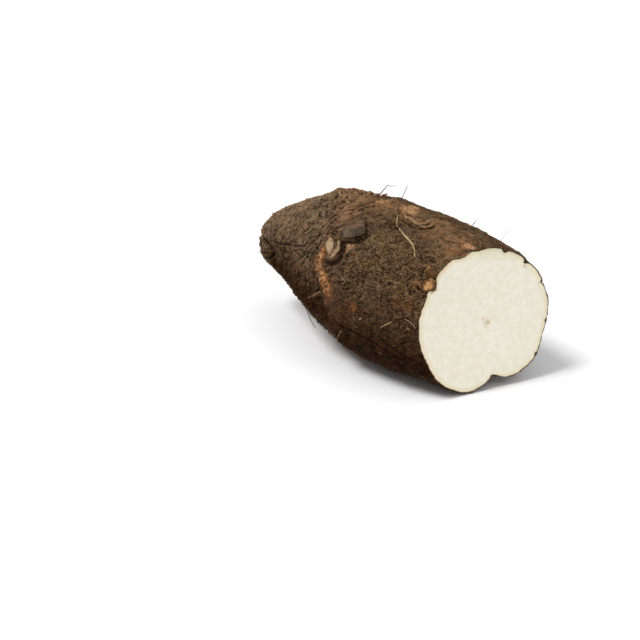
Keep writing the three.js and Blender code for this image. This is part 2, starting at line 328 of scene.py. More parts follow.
# Fine height of the bark and height of its lumps in mm, and masks for its colours, at
# places on the skin.
def barkDetail(x, angle, point):
    r = relieves
    wander = np.stack([softNoise(point / 8, seed) for seed in (11, 12, 13)], -1) * 3
    bent = twisted(point + 0.7 * wander, r["twist"])
    behind = behindShoulder(x, angle)
    far = 1 - np.exp(-(turnBetween(angle, 140) / 66) ** 4)
    neck = smoothStep(behind, -1 - 7 * far, 6 + 9 * far)
    calm = np.exp(-(turnBetween(angle, 82) / 34) ** 2) * (1 - neck)
    collar = np.exp(-((behind + 7) / 8) ** 2) * (behind < 3)
    # under is 1 on the underside and lower flank: it softens the relief there and, in the colour, darkens the bark as
    # painted shade.
    under = np.exp(-(turnBetween(angle, 215 - 19 * neck) / (50 - 14 * neck)) ** 2)
    under *= 1 - 0.55 * smoothStep(-x, 78, 94)
    patch = smoothStep(softNoise(point / 17, 14), -0.4, 0.6) * (1 - 0.5 * under)

    swell = softNoise(stretched(bent, r["swell"]["along"], r["swell"]["across"]), 1)
    ripple = softNoise(stretched(bent, r["ripple"]["along"], r["ripple"]["across"]), 4)
    near, far, level = crumbNoise(bent / r["crumbs"]["size"], 3)
    crumbs = (0.5 - near) * (0.25 + 0.75 * patch)
    grain = softNoise(point / r["grain"]["size"], 5)
    streaks = softNoise(stretched(bent, r["streaks"]["along"], r["streaks"]["across"]), 26)
    body = (ripple * r["ripple"]["height"] + crumbs * r["crumbs"]["height"]) * (1 - 0.55 * under)
    body = (body + streaks * r["streaks"]["height"]) * (1 - 0.35 * calm)
    leaning = point + 0.5 * wander
    leaning[..., 0] -= r["neckLean"] * leaning[..., 2]
    strokes = softNoise(stretched(leaning, r["neckStrokes"]["along"], r["neckStrokes"]["across"]), 6)
    rough = smoothStep(softNoise(point / 6.5, 29), -0.35, 0.35) * (1 - 0.6 * far)
    crease = neck * rough * smoothStep(r["neckStrokes"]["crease"] - np.abs(strokes), 0, 0.12)
    strokes = (0.55 + 0.45 * rough) * (np.minimum(2.2 * np.abs(strokes), 1) - 0.6)
    low = softNoise(stretched(leaning, r["neckSwell"]["along"], r["neckSwell"]["across"]), 2)
    thin = softNoise(stretched(leaning, r["neckLines"]["along"], r["neckLines"]["across"]), 27)
    thin *= 1 - 0.4 * far
    band = neck * (strokes * r["neckStrokes"]["height"] + thin * r["neckLines"]["height"] + 0.3 * body)
    small = (1 - neck) * body + band + grain * r["grain"]["height"]
    large = (1 - neck) * swell * r["swell"]["height"] + neck * low * r["neckSwell"]["height"]
    breaks = smoothStep(softNoise(bent / 4.5, 25), -0.05, 0.25)
    marks = ridges(stretched(bent, r["marks"]["along"], r["marks"]["across"]), 24, r["marks"]["width"]) * breaks
    marks *= (1 - 0.8 * neck) * (1 - 0.5 * under)
    slits = ridges(stretched(leaning, r["neckSlits"]["along"], r["neckSlits"]["across"]), 7, r["neckSlits"]["width"])
    slits = slits * neck * smoothStep(softNoise(point / 7, 15), -0.05, 0.25)

    bands = ridges(stretched(point + wander, r["collarRidges"]["along"], r["collarRidges"]["across"]), 8) ** 2 - 0.5
    small += collar * bands * r["collarRidges"]["height"]
    lines = ridges(stretched(bent, r["fibres"]["along"], r["fibres"]["across"]), 9) ** 2 - 0.5
    small += under * (1 - neck) * lines * r["fibres"]["height"]
    silk = smoothStep(x, *r["silk"]["x"]) * np.exp(-(turnBetween(angle, r["silk"]["angle"]) / r["silk"]["reach"]) ** 2)
    lines = ridges(stretched(bent, r["silk"]["along"], r["silk"]["across"]), 10) ** 2 - 0.5
    small = small * (1 - 0.45 * silk) + silk * lines * r["silk"]["height"]
    wrinkled = np.zeros_like(x)
    for places, reach, spacing, height in r["wrinkles"]:
        away = lineDistance(x + 0.9 * softNoise(point / 6, 20), angle + 0.9 * softNoise(point / 6, 23), places)
        bell = np.exp(-(away / reach) ** 2)
        small += height * bell * (np.cos(2 * math.pi * away / spacing) - 0.2)
        wrinkled = np.maximum(wrinkled, bell)

    near, far, level = crumbNoise(bent / r["pits"]["spacing"], 16)
    pit = smoothStep(0.16 - near, 0, 0.09)
    near, far, level = crumbNoise(point / r["knobs"]["spacing"], 17)
    knob = smoothStep(0.1 - near, 0, 0.07) - 0.9 * smoothStep(0.04 - near, 0, 0.03)
    near, far, level = crumbNoise(bent / r["pores"]["size"], 18)
    porous = smoothStep(nearestSpot(x, angle, r["pores"]["spots"]), 0.05, 0.5)
    pores = porous * smoothStep(0.42 - near, 0, 0.2)
    hole = pit * r["pits"]["depth"] + pores * r["pores"]["depth"]
    hole += slits * r["neckSlits"]["depth"] + marks * r["marks"]["depth"]
    fine = large + small + knob * r["knobs"]["height"] - hole
    lumps = lumpHeight(x, angle)
    for places, reach, height in r["welts"]:
        fine += height * np.exp(-(lineDistance(x, angle, places) / reach) ** 2)
    for place, turn, radius, height in r["scars"]:
        out = radius * (1 - nearSpot(x + 0.5 * grain, angle, (place, turn, radius * 2, radius * 2))) * 2
        fine += height * (np.exp(-((out - radius) / 0.8) ** 2) - 0.5 * np.exp(-(out / radius) ** 2 * 2))

    # Cracks sink the relief and darken the colour through the crack mask; along the flakes' free edges that dark is
    # painted shadow.
    crack = np.zeros_like(x)
    jitter = 0.7 * grain + 0.8 * softNoise(point / 4, 19)
    for places, reach, depth in r["cracks"]:
        line = 1 - np.clip((lineDistance(x, angle, places) + 0.35 * jitter) / reach, 0, 1)
        fine -= depth * smoothStep(line, 0, 0.7)
        crack = np.maximum(crack, smoothStep(line, 0.3, 0.75))
    hollow = np.clip(np.max([pit * 0.7, pores, slits * 0.9, marks * 0.9, crease * 0.72], axis=0), 0, 1)
    level = np.clip(0.5 + 0.25 * large + (0.45 + 0.2 * neck) * small, 0, 1)
    return fine, lumps, {"height": level, "crack": np.maximum(crack, hollow), "neck": neck, "calm": calm,
                         "collar": np.maximum(0.8 * collar, wrinkled), "under": under}


stains = {
    "warm": [  # spots: x, angle, reach along, reach across
        (-14, 95, 26, 15), (8, 90, 26, 16), (30, 90, 24, 13), (50, 95, 26, 14), (72, 98, 26, 16), (88, 112, 14, 14),
        (-40, 84, 14, 12), (-8, 112, 14, 12), (24, 36, 26, 15), (62, 14, 22, 14), (2, 352, 24, 14), (70, 322, 20, 12),
        (34, 318, 18, 10),
    ],
    "rust": [
        (40, 178, 14, 9), (30, 185, 14, 8), (83, 162, 14, 7), (66, 172, 10, 5), (8, 166, 16, 12), (55, 198, 16, 5),
        (78, 203, 16, 6), (-40, 84, 6, 5), (28, 79, 9, 5), (85, 146, 6, 4), (18, 193, 10, 7), (88, 112, 10, 7),
        (-12, 190, 10, 8), (42, 6, 13, 8), (78, 352, 10, 7), (12, 332, 12, 8), (86, 62, 9, 6), (0, 40, 9, 7),
        (56, 300, 14, 7), (20, 60, 8, 5),
    ],
    "ochre": [
        (-2, 89, 8, 5), (92, 145, 3, 3), (14, 4, 6, 4), (64, 30, 5, 4), (42, 175, 6, 5), (-38, 93, 5, 4), (88, 101, 6, 4), (60, 108, 4, 3),
    ],
    "tan": [
        (18, 137.8, 5.4, 5), (25.5, 89.5, 9.5, 9), (22, 84.5, 8, 6), (-3, 184, 6, 4), (0, 88, 6, 5), (89, 99, 5, 4),
        (30, 22, 6, 5), (70, 340, 6, 4),
    ],
    "slate": [(37.8, 88, 8, 6.5), (46, 108, 7.5, 5.5), (26, 118.5, 6, 4), (60, 318, 12, 7), (6, 12, 9, 6)],
    "strips": [  # places (x, angle), reach of the orange, reach of the golden core
        ([(-1.2, 152.4), (-1, 155), (-0.8, 158), (0, 160.8)], 7.5, 5.4),
        ([(0.4, 161), (4.5, 164.2), (7.5, 166.6)], 7.5, 4.4),
        ([(7.5, 166.6), (9.6, 168.4), (12.2, 171.2)], 8, 5.6),
        ([(12.2, 171.2), (15.7, 175.3)], 6.5, 2.4),
        ([(0, 166), (6, 162), (10, 164)], 5, 0.8),
    ],
}


# Colour masks drawn from spots and lines whose edges are broken up by noise.
def barkStains(x, angle, point):
    ragged = 0.4 * softNoise(point / 2.4, 21) + 0.4 * softNoise(point / 6, 22)
    warm = nearestSpot(x, angle, stains["warm"])
    rust = nearestSpot(x, angle, stains["rust"])
    ochre = nearestSpot(x, angle, stains["ochre"])
    away = np.array([lineDistance(x, angle, places) for places, wide, narrow in stains["strips"]])
    wide, narrow = np.array([(wide, narrow) for places, wide, narrow in stains["strips"]]).T
    strip = np.clip(1 - away / wide[:, None, None], 0, 1).max(0)
    core = np.clip(1 - away / narrow[:, None, None], 0, 1).max(0)
    golden = np.maximum(ochre, 0.8 * strip) + 1.1 * core
    tan = nearestSpot(x, angle, stains["tan"])
    slate = nearestSpot(x, angle, stains["slate"])
    return {
        "warm": smoothStep(warm + 0.5 * ragged, 0, 0.7) * smoothStep(warm, 0, 0.25),
        "rust": smoothStep(np.maximum(rust, strip) + ragged, 0.1, 0.9) * smoothStep(np.maximum(rust, strip), 0, 0.2),
        "ochre": smoothStep(golden + 0.9 * ragged, 0.25, 0.85) * smoothStep(golden, 0, 0.2),
        "golden": smoothStep(core + 0.35 * ragged, 0.1, 0.7),
        "slate": smoothStep(slate + 0.5 * ragged, 0.05, 0.6) * smoothStep(slate, 0, 0.2),
        "tan": smoothStep(tan + 0.8 * ragged, 0.1, 0.6) * smoothStep(tan, 0, 0.15),
    }


# A closed mesh from rings of equal length. With a start and an end point the rings are
# capped by fans; without them the last ring joins on to the first. Edges along the
# sharp rings are sharp, and values holds a number for each ring point and end.
def ringMesh(name, rings, ends=None, sharpRings=(), values=None, flip=False):
    count, n = rings.shape[:2]
    points = rings.reshape(-1, 3)
    ring = np.arange(count)[:, None] * n + np.arange(n)
    if ends is None:
        ring = np.vstack([ring, ring[:1]])
    after = np.roll(ring, -1, axis=1)
    faces = np.stack([ring[:-1], after[:-1], after[1:], ring[1:]], -1).reshape(-1, 4)
    order = -1 if flip else 1
    faces = faces[:, ::order].tolist()
    if ends is not None:
        points = np.vstack([points, ends])
        first = np.stack([np.full(n, count * n), after[0], ring[0]], -1)
        last = np.stack([np.full(n, count * n + 1), ring[-1], after[-1]], -1)
        faces += first[:, ::order].tolist() + last[:, ::order].tolist()
    mesh = bpy.data.meshes.new(name)
    mesh.from_pydata((points * metresPerMm).tolist(), [], faces)
    mesh.shade_smooth()
    if sharpRings:
        edges = np.empty(len(mesh.edges) * 2, int)
        mesh.edges.foreach_get("vertices", edges)
        edges = edges.reshape(-1, 2) // n
        sharp = (edges[:, 0] == edges[:, 1]) & np.isin(edges[:, 0], sharpRings)
        mesh.attributes.new("sharp_edge", "BOOLEAN", "EDGE").data.foreach_set("value", sharp)
    for key, field in (values or {}).items():
        whole = np.zeros(len(points), np.float32)
        whole[:field.size] = field.ravel()
        if ends is not None:
            whole[count * n] = whole[:n].mean()
        mesh.attributes.new(key, "FLOAT", "POINT").data.foreach_set("value", whole)
    mesh.update()
    piece = bpy.data.objects.new(name, mesh)
    bpy.context.scene.collection.objects.link(piece)
    return piece


cutNormal = unit(np.array([1, -form["cutTilt"], 0.0]))
cutMiddle = np.array([lastX, 0, float(through(np.array(float(lastX)), 1))])


# Angles round a ring, closer together on one side.
def ringAngles(count, crowding, side):
    even = np.arange(count) * 2 * math.pi / count
    return np.degrees(even + crowding * np.cos(even - math.radians(side - 90))) % 360


# Where the body's bark ends, as a ragged line a little behind the shoulder.
def collarX(angle):
    s = form["shoulder"]
    a = np.radians(angle)
    circle = np.stack([np.cos(a), np.sin(a), 0 * a], -1) * 42
    ragged = 2.2 * softNoise(circle / 9, 31) + 1.1 * softNoise(circle / 2.6, 32)
    return s["middle"] - s["swing"] * np.cos(a - math.radians(s["angle"])) - 1.2 + ragged


# Outer surface over a grid of places: the form moved along its normal by the fine height.
def barkSurface(x, angle, lift, flat):
    base = skinPoint(x, angle, lift)
    fine, lumps, masks = barkDetail(x, angle, base)
    masks.update(barkStains(x, angle, base))
    normals = gridNormals(base)
    normals = unit(normals - flat[..., None] * (normals @ cutNormal)[..., None] * cutNormal)
    outer = base + normals * (lumps + fine * (1 - 0.4 * flat))[..., None]
    outer[..., 2] = np.maximum(outer[..., 2], 0)
    return outer, masks


# The values of a ring, each the mean of itself and its neighbours.
def evenRound(ring, reach):
    return np.mean([np.roll(ring, k, axis=0) for k in range(-reach, reach + 1)], axis=0)


bodyBark = {
    "around": 460,
    "along": 196,
    "crowding": 0.28,
    "crowded": 150,  # angle of the side where points stand closest
    "inside": 14,
    "thickness": 0.6,
    "insideDepth": 2.8,  # so that the bark's cracks don't pierce the inside
    "collarLift": 0.75,
    "rimEase": 4,  # length before the rim over which detail turns into the cut plane
    "nicks": [  # places where the bark's edge breaks into the flesh: angle, reach, depth
        (73, 2.4, 2.6), (50, 2.2, 2.4), (113, 4.5, 0.8), (142.6, 2.7, 3), (24, 1.5, 1.0), (281, 2.5, 0.8),
        (349, 1.2, 0.7), (322, 1.5, 0.8), (128, 2, 0.7),
    ],
}


# The body's bark: a sleeve from the ragged collar to the rim, in over the rim by its own
# thickness and back along the inside.
def makeBodyBark():
    b = bodyBark
    angles = ringAngles(b["around"], b["crowding"], b["crowded"])
    start = collarX(angles)
    share = np.linspace(0, 1, b["along"] + 1)[:, None]
    x = start + share * (lastX - start)
    angle = np.broadcast_to(angles, x.shape)
    circle = np.stack([np.cos(np.radians(angles)), np.sin(np.radians(angles)), 0 * angles], -1) * 2.4
    near = np.exp(-(turnBetween(angles, 140) / 60) ** 4)
    edge = 0.15 + 0.85 * np.maximum(near, smoothStep(softNoise(circle, 35), 0, 0.5))
    lift = edge * (b["collarLift"] * np.exp(-((x - start) / 2.2)) + 0.5 * np.exp(-((x - start) / 9)))
    flat = smoothStep(x, lastX - b["rimEase"], lastX)
    outer, masks = barkSurface(x, angle, lift, flat)
    rim = outer[-1]

    away = np.linalg.norm(rim - cutMiddle, axis=-1)
    depth = b["thickness"] * (1 + 0.6 * softNoise(rim / 2.5, 33) + 0.3 * softNoise(rim / 7, 34))
    broken = np.zeros(len(angles))
    for turn, reach, deep in b["nicks"]:
        bell = np.exp(-(turnBetween(angles, turn) / reach) ** 2)
        depth += deep * bell
        broken = np.maximum(broken, bell * min(deep, 1))
    radius = np.minimum(evenRound(evenRound(away, 3), 3) - np.maximum(depth, 0.2), away - 0.12)
    flush = cutMiddle + (rim - cutMiddle) * (radius / away)[:, None]
    lip = flush - cutNormal * (0.9 * broken)[:, None]
    insideShare = np.linspace(0.97, 0, b["inside"])[:, None]
    insideX = start + insideShare * (lastX - start)
    insideAngle = np.broadcast_to(angles, insideX.shape)
    sunk = b["insideDepth"] * (np.exp(-(insideX - start) / 4) - 1) - 0.3 + np.minimum(lumpHeight(insideX, insideAngle), 0)
    inside = skinPoint(insideX, insideAngle, sunk)
    inside[..., 2] = np.maximum(inside[..., 2], b["thickness"])
    rings = np.concatenate([outer, lip[None], inside])
    rest = np.zeros((1 + b["inside"], len(angles)))
    values = {key: np.concatenate([field, rest]) for key, field in masks.items()}
    torn = np.exp(-(turnBetween(angles, 140) / 7) ** 4)
    values["crack"][b["along"] + 1] = 0.8
    values["rust"][b["along"] + 1] = 0.4 * torn
    values["height"][b["along"] + 1] = 0.7
    values["crack"][-1] = 1
    sharp = (0, b["along"], b["along"] + 1)
    piece = ringMesh("bodyBark", rings, None, sharp, values)
    print("body bark:", len(piece.data.polygons), "faces")
    return piece, flush, lip


neckBark = {
    "around": 400,
    "along": 208,
    "cap": 22,
    "crowding": 0.25,
    "tucked": 8,  # length that runs on under the body's collar
    "sunk": 1.5,
}


# The neck: a closed form from the tip to under the body's collar.
def makeNeckBark():
    b = neckBark
    angles = ringAngles(b["around"], b["crowding"], bodyBark["crowded"])
    arc = np.arange(1, b["cap"] + 1)[:, None] / b["cap"] * math.pi / 2
    capX = firstX + form["tipCap"] * (1 - np.cos(arc)) + 0 * angles
    start = collarX(angles)
    share = np.linspace(0, 1, b["along"] + 1)[1:, None]
    x = np.concatenate([capX, capX[-1] + share * (start + b["tucked"] - capX[-1])])
    angle = np.broadcast_to(angles, x.shape)
    lift = -b["sunk"] * smoothStep(x - start, -0.5, 4)
    outer, masks = barkSurface(x, angle, lift, np.zeros_like(x))
    # Painted shade: the neck darkened in a band just before the body's collar edge and under it, where the collar
    # overhangs.
    masks["crack"] = np.maximum(masks["crack"], smoothStep(x - start, -2.2, -0.2) * 0.8)
    tip = outer[0].mean(0) - [0.3, 0, 0]
    end = outer[-1].mean(0)
    piece = ringMesh("neckBark", outer, [tip, end], (), masks)
    print("neck bark:", len(piece.data.polygons), "faces")
    return piece


flesh = {
    "rings": 56,
    "gap": 0.03,  # between the flesh's edge and the bark
    "knifeWave": 0.1,
    "facet": {"angle": 80, "at": 40, "slope": 0.1},  # a second, shallow knife cut at the top
    "flecks": [(24, 45.5, 1.6), (6, 47, 1.2), (104, 50, 1.5), (146, 48, 2.6), (161, 50, 1.6), (48, 43.5, 2.2)],
    "glints": [(10, -17.8, 9), (4, -20, 10), (22, 3, 7), (2, 11, 6), (-9, -16, 8), (18, -25, 8)],  # across, up, reach
    "core": [(3.4, -2.3, 1.7, 1.2), (2, -2, 4.8, 0.62), (-1.2, 1, 2.6, 0.5), (7.2, 1.7, 2.2, 0.4), (1.8, -4.6, 3, 0.45)],  # across, up, size, depth
}


# The flesh: a disc in the cut plane from the middle to the bark's inner edge, waved by
# the knife, closed by a body that follows the inside of the bark.
def makeFlesh(flush, lip):
    f = flesh
    share = np.linspace(0, 1, f["rings"] + 1)[1:, None] ** 0.9
    inward = unit(cutMiddle - lip)
    flatEdge = flush + inward * f["gap"]
    plain = evenRound(evenRound(flatEdge, 14), 14)
    bend = smoothStep(share, 0.6, 1)[..., None]
    disc = cutMiddle + share[..., None] * (plain + bend * (flatEdge - plain) - cutMiddle)
    disc += (share ** 70)[..., None] * (lip - flush)
    up = np.array([0, 0, 1.0])
    across = unit(np.cross(up, cutNormal))
    offset = disc - cutMiddle
    u, v = offset @ across, offset @ up
    turn = math.radians(f["facet"]["angle"])
    beyond = np.maximum(u * math.cos(turn) + v * math.sin(turn) - f["facet"]["at"], 0)
    flatPlace = np.stack([u, v, 0 * u], -1)
    wave = softNoise(flatPlace / [22, 9, 1], 41) + 0.4 * softNoise(flatPlace / [6, 3, 1], 42)
    calm = smoothStep(1 - share, 0, 0.03)
    disc = disc + cutNormal * (f["knifeWave"] * wave * calm - beyond * f["facet"]["slope"])[..., None]

    fromRim = np.linalg.norm(flatEdge - disc, axis=-1)
    places = [(r * math.cos(math.radians(a)), r * math.sin(math.radians(a)), size) for a, r, size in f["flecks"]]
    fleck = np.max([1 - np.hypot(u - a, v - b) / size for a, b, size in places], axis=0)
    glint = np.max([1 - np.hypot(u - a, v - b) / size for a, b, size in f["glints"]], axis=0)
    core = np.max([(1 - np.hypot(u - a, v - b) / size) * depth for a, b, size, depth in f["core"]], axis=0)
    around = np.degrees(np.arctan2(v, u))
    blush = np.exp(-(turnBetween(around, 133) / 15) ** 2)

    angles = ringAngles(bodyBark["around"], bodyBark["crowding"], bodyBark["crowded"])
    start = collarX(angles)
    insideX = start + 8 + np.linspace(0.93, 0, bodyBark["inside"])[:, None] * (lastX - start - 8)
    insideAngle = np.broadcast_to(angles, insideX.shape)
    sunk = np.minimum(lumpHeight(insideX, insideAngle), 0) - bodyBark["insideDepth"] - 0.9
    inside = skinPoint(insideX, insideAngle, sunk)
    inside[..., 2] = np.maximum(inside[..., 2], bodyBark["thickness"] + 0.4)
    rings = np.concatenate([disc, inside])
    rest = np.zeros(inside.shape[:2])
    values = {"fromRim": fromRim, "fleck": np.clip(fleck, 0, 1), "glint": np.clip(glint, 0, 1),
              "core": np.clip(core, 0, 1), "blush": blush, "facet": smoothStep(beyond, 0, 1.5)}
    values = {key: np.concatenate([field, rest]) for key, field in values.items()}
    piece = ringMesh("flesh", rings, [cutMiddle, inside[-1].mean(0)], (f["rings"] - 1,), values, flip=True)
    print("flesh:", len(piece.data.polygons), "faces")
    return piece


bodyPiece, flushEdge, lipEdge = makeBodyBark()
neckPiece = makeNeckBark()
fleshPiece = makeFlesh(flushEdge, lipEdge)


# Smooth curve through given points, as even steps of a cubic between each two.
def smoothPath(points, steps):
    points = np.asarray(points, float)
    padded = np.vstack([2 * points[0] - points[1], points, 2 * points[-1] - points[-2]])
    t = np.linspace(0, len(points) - 1, steps)
    k = np.minimum(t.astype(int), len(points) - 2)
    f = (t - k)[:, None]
    a, b, c, d = padded[k], padded[k + 1], padded[k + 2], padded[k + 3]
    return 0.5 * (2 * b + (c - a) * f + (2 * a - 5 * b + 4 * c - d) * f ** 2 + (3 * b - a - 3 * c + d) * f ** 3)


# Tubes along paths of equal length, one for each row of paths: rings of a tapering
# circle square to the path, with a point at each end.
def tubeArrays(paths, radii, sides):
    count, steps = paths.shape[:2]
    ahead = unit(np.gradient(paths, axis=1))
    side = unit(np.cross(ahead, np.array([0.31, 0.83, 0.46])))
    other = np.cross(ahead, side)
    turn = np.arange(sides) * 2 * math.pi / sides
    circle = (side[:, :, None] * np.cos(turn)[:, None] + other[:, :, None] * np.sin(turn)[:, None])
    rings = paths[:, :, None] + circle * radii.reshape(count, steps, -1)[..., None]
    points = np.concatenate([rings.reshape(count, -1, 3), paths[:, :1], paths[:, -1:]], axis=1)
    ring = np.arange(steps)[:, None] * sides + np.arange(sides)
    after = np.roll(ring, -1, axis=1)
    walls = np.stack([ring[:-1], after[:-1], after[1:], ring[1:]], -1).reshape(-1, 4)
    low = np.stack([np.full(sides, steps * sides), after[0], ring[0]], -1)
    high = np.stack([np.full(sides, steps * sides + 1), ring[-1], after[-1]], -1)
    shift = (np.arange(count) * points.shape[1])[:, None, None]
    quads = (walls + shift).reshape(-1, 4)
    triangles = (np.concatenate([low, high]) + shift).reshape(-1, 3)
    return points.reshape(-1, 3), quads, triangles


def addMesh(name, parts):
    points, faces, shift = [], [], 0
    for vertices, quads, triangles in parts:
        points.append(vertices)
        faces += (quads + shift).tolist() + (triangles + shift).tolist()
        shift += len(vertices)
    mesh = bpy.data.meshes.new(name)
    mesh.from_pydata((np.vstack(points) * metresPerMm).tolist(), [], faces)
    mesh.shade_smooth()
    mesh.update()
    piece = bpy.data.objects.new(name, mesh)
    bpy.context.scene.collection.objects.link(piece)
    return piece


# Height of the bark's fine relief under a path over the skin, evened out along it.
def groundHeight(x, angle):
    fine, lumps, masks = barkDetail(x, angle, skinPoint(x, angle))
    return np.convolve(np.pad(np.maximum(fine + lumps, 0), 2, "edge"), np.full(5, 0.2), "valid")


# A path through places (x, angle, lift), the lift counted from the bark's relief.
def skinPath(places, steps):
    x, angle, lift = smoothPath(np.array(places, float), steps).T
    return skinPoint(x, angle, lift + groundHeight(x, angle))


# One lumpy tube along such a path, thinner at both ends.
def rootTube(places, radius, seed, steps=44, sides=16, lump=0.22):
    path = skinPath(places, steps)
    taper = 0.4 + 0.6 * np.sin(np.linspace(0.25, 2.9, steps)) ** 0.5
    turn = np.arange(sides) * 2 * math.pi / sides
    around = np.stack([np.cos(turn), np.sin(turn), 0 * turn], -1) * 1.3
    rough = softNoise(path[:, None] / 1.5 + around, seed)
    radii = radius * taper[:, None] * (1 + lump * rough)
    return tubeArrays(path[None], radii[None], sides)


roots = {
    "ridges": [  # places (x, angle, lift) and radius
        ([(31, 97.6, -0.6), (35.4, 99.2, 0.2), (40, 100, 0.5), (45, 101.2, 0.6), (48.2, 100.8, 0.5), (48.9, 97.5, 0.5),
          (48.2, 93, 0.4), (45.4, 88, -0.5)], 1.1),
        ([(46, 100, 0), (50, 101, 0.4), (53, 99.8, 0.4), (53.2, 95, 0.4), (50.4, 90.7, -0.4)], 0.75),
        ([(-26.4, 106, -0.2), (-23.3, 105, 0.8), (-25, 99.5, 1), (-29, 93.5, 0)], 0.85),
        ([(-24, 100.9, 0), (-18.3, 104, 0.7), (-14.1, 105.5, 0.4), (-12, 106, -0.5)], 0.8),
        ([(-22, 79, -0.4), (-21.5, 78, 1), (-21, 76.5, 1.4)], 0.9),
        ([(-17, 80, -0.4), (-16, 78, 0.9), (-15, 75.5, 1.2)], 0.9),
        ([(-12, 78, -0.4), (-11.5, 76, 0.8), (-10, 74, 1.1)], 0.8),
        ([(24, 20, -0.4), (28, 16, 0.5), (34, 14, 0.6), (40, 16, 0.3), (44, 20, -0.5)], 1.1),
        ([(60, 352, -0.4), (64, 349, 0.5), (70, 348, 0.5), (75, 351, -0.4)], 0.9),
        ([(6, 336, -0.4), (9, 331, 0.5), (14, 328, 0.5), (18, 330, -0.4)], 0.8),
        ([(-43, 84, -0.6), (-41, 88, 0.5), (-38, 92, 0.6), (-34, 94, -0.4)], 1.0),
    ],
    "rimCurl": {"places": [(135, 52.3, -0.6), (136.6, 51.4, 0.2), (138.6, 49.8, 0.4), (141, 48.2, 0.5), (143.3, 47.4, 0.5),
                           (144.5, 48.6, 0.4), (145, 50.4, 0.3), (146.7, 52, 0), (148.2, 52.8, -0.8)], "radius": 0.5},
    "stubs": {"count": 9, "seed": 11, "x": -27, "angle": 86, "spreadX": 11, "spreadAngle": 20,
              "radius": 1.2, "height": 2.2, "leanX": 1.5, "emerging": 0.2, "foot": 1.2, "end": 0.5},
    "rootDepth": 1.5,
}


# Root stubs at the hump, scattered by the same rule as in the solid.
def stubPaths():
    s = roots["stubs"]
    state = s["seed"]
    draws = []
    for _ in range(4 * s["count"]):
        state = state * 16807 % 2147483647
        draws.append(state / 2147483647)
    first, second, third, fourth = np.array(draws).reshape(-1, 4).T
    x = s["x"] + s["spreadX"] * (2 * first - 1)
    angle = s["angle"] + s["spreadAngle"] * (2 * second - 1)
    height = s["height"] * (0.5 + 0.5 * third)
    leanX = s["leanX"] * (2 * fourth - 1)
    low = skinPoint(x, angle, -roots["rootDepth"])
    middle = skinPoint(x, angle, s["emerging"])
    high = skinPoint(x + leanX, angle, height)
    return low, middle, high


# A curled shred of bark over the rim: places (angle, distance from the middle, lift) on
# the cut plane.
def rimCurl():
    angle, radius, lift = np.array(roots["rimCurl"]["places"], float).T
    a = np.radians(angle)
    across = unit(np.cross([0, 0, 1.0], cutNormal))
    spots = cutMiddle + (radius * np.cos(a))[:, None] * across + (radius * np.sin(a))[:, None] * np.array([0, 0, 1.0])
    path = smoothPath(spots + lift[:, None] * cutNormal, 50)
    taper = roots["rimCurl"]["radius"] * (0.45 + 0.55 * np.sin(np.linspace(0.2, 2.9, 50)) ** 0.5)
    rough = softNoise(path[:, None] / 1.2 + np.linspace(0, 3, 14)[:, None] * [1, 0.4, 0], 58)
    return tubeArrays(path[None], (taper[:, None] * (1 + 0.6 * rough))[None], 14)


def makeRoots():
    parts = [rootTube(places, radius, 51 + i) for i, (places, radius) in enumerate(roots["ridges"])]
    s = roots["stubs"]
    for i, corners in enumerate(zip(*stubPaths())):
        path = smoothPath(corners, 14)
        taper = s["radius"] * np.interp(np.linspace(0, 2, 14), [0, 1, 1.7, 2], [s["foot"], 1, 0.75, 0.3])
        turn = np.arange(12) * math.pi / 6
        around = np.stack([np.cos(turn), np.sin(turn), 0 * turn], -1)
        rough = softNoise(path[:, None] / 1.4 + around, 61 + i)
        parts.append(tubeArrays(path[None], (taper[:, None] * (1 + 0.35 * rough))[None], 12))
    return addMesh("roots", parts)


rootlets = {
    "thick": [
        ([(40.6, 110.8, -0.4), (45.2, 112.8, 0.3), (50.3, 114.9, 0.5), (56.8, 117.4, 0.5), (62.6, 119.9, 0.5),
          (69.2, 123.9, 0.5), (73.8, 128.3, 0.3)], 0.55),
        ([(38.9, 110.7, 0.1), (34.7, 107, 0.3), (30, 102.5, 0.3), (27, 99.5, 0.1)], 0.32),
        ([(48, 183, -0.3), (50, 182, 0.3), (51, 181, 0.5)], 0.35),
        ([(32, 14, 0.2), (40, 6, 0.5), (50, 0, 0.5), (58, -4, 0.5), (63, -9, 0.1)], 0.4),
        ([(10, 30, 0.1), (4, 24, 0.5), (-2, 20, 0.5), (-7, 12, 0.2)], 0.35),
        ([(66.2, 184.4, 0), (72, 180.3, 0.6), (76.9, 176.6, 0.5)], 0.24),
    ],
}


# Rootlets: tubes through points that stand off the skin by a lift.
def makeRootlets():
    parts = [rootTube(places, radius, 71 + i, 40, 10, 0.12) for i, (places, radius) in enumerate(rootlets["thick"])]
    return addMesh("rootlets", parts)


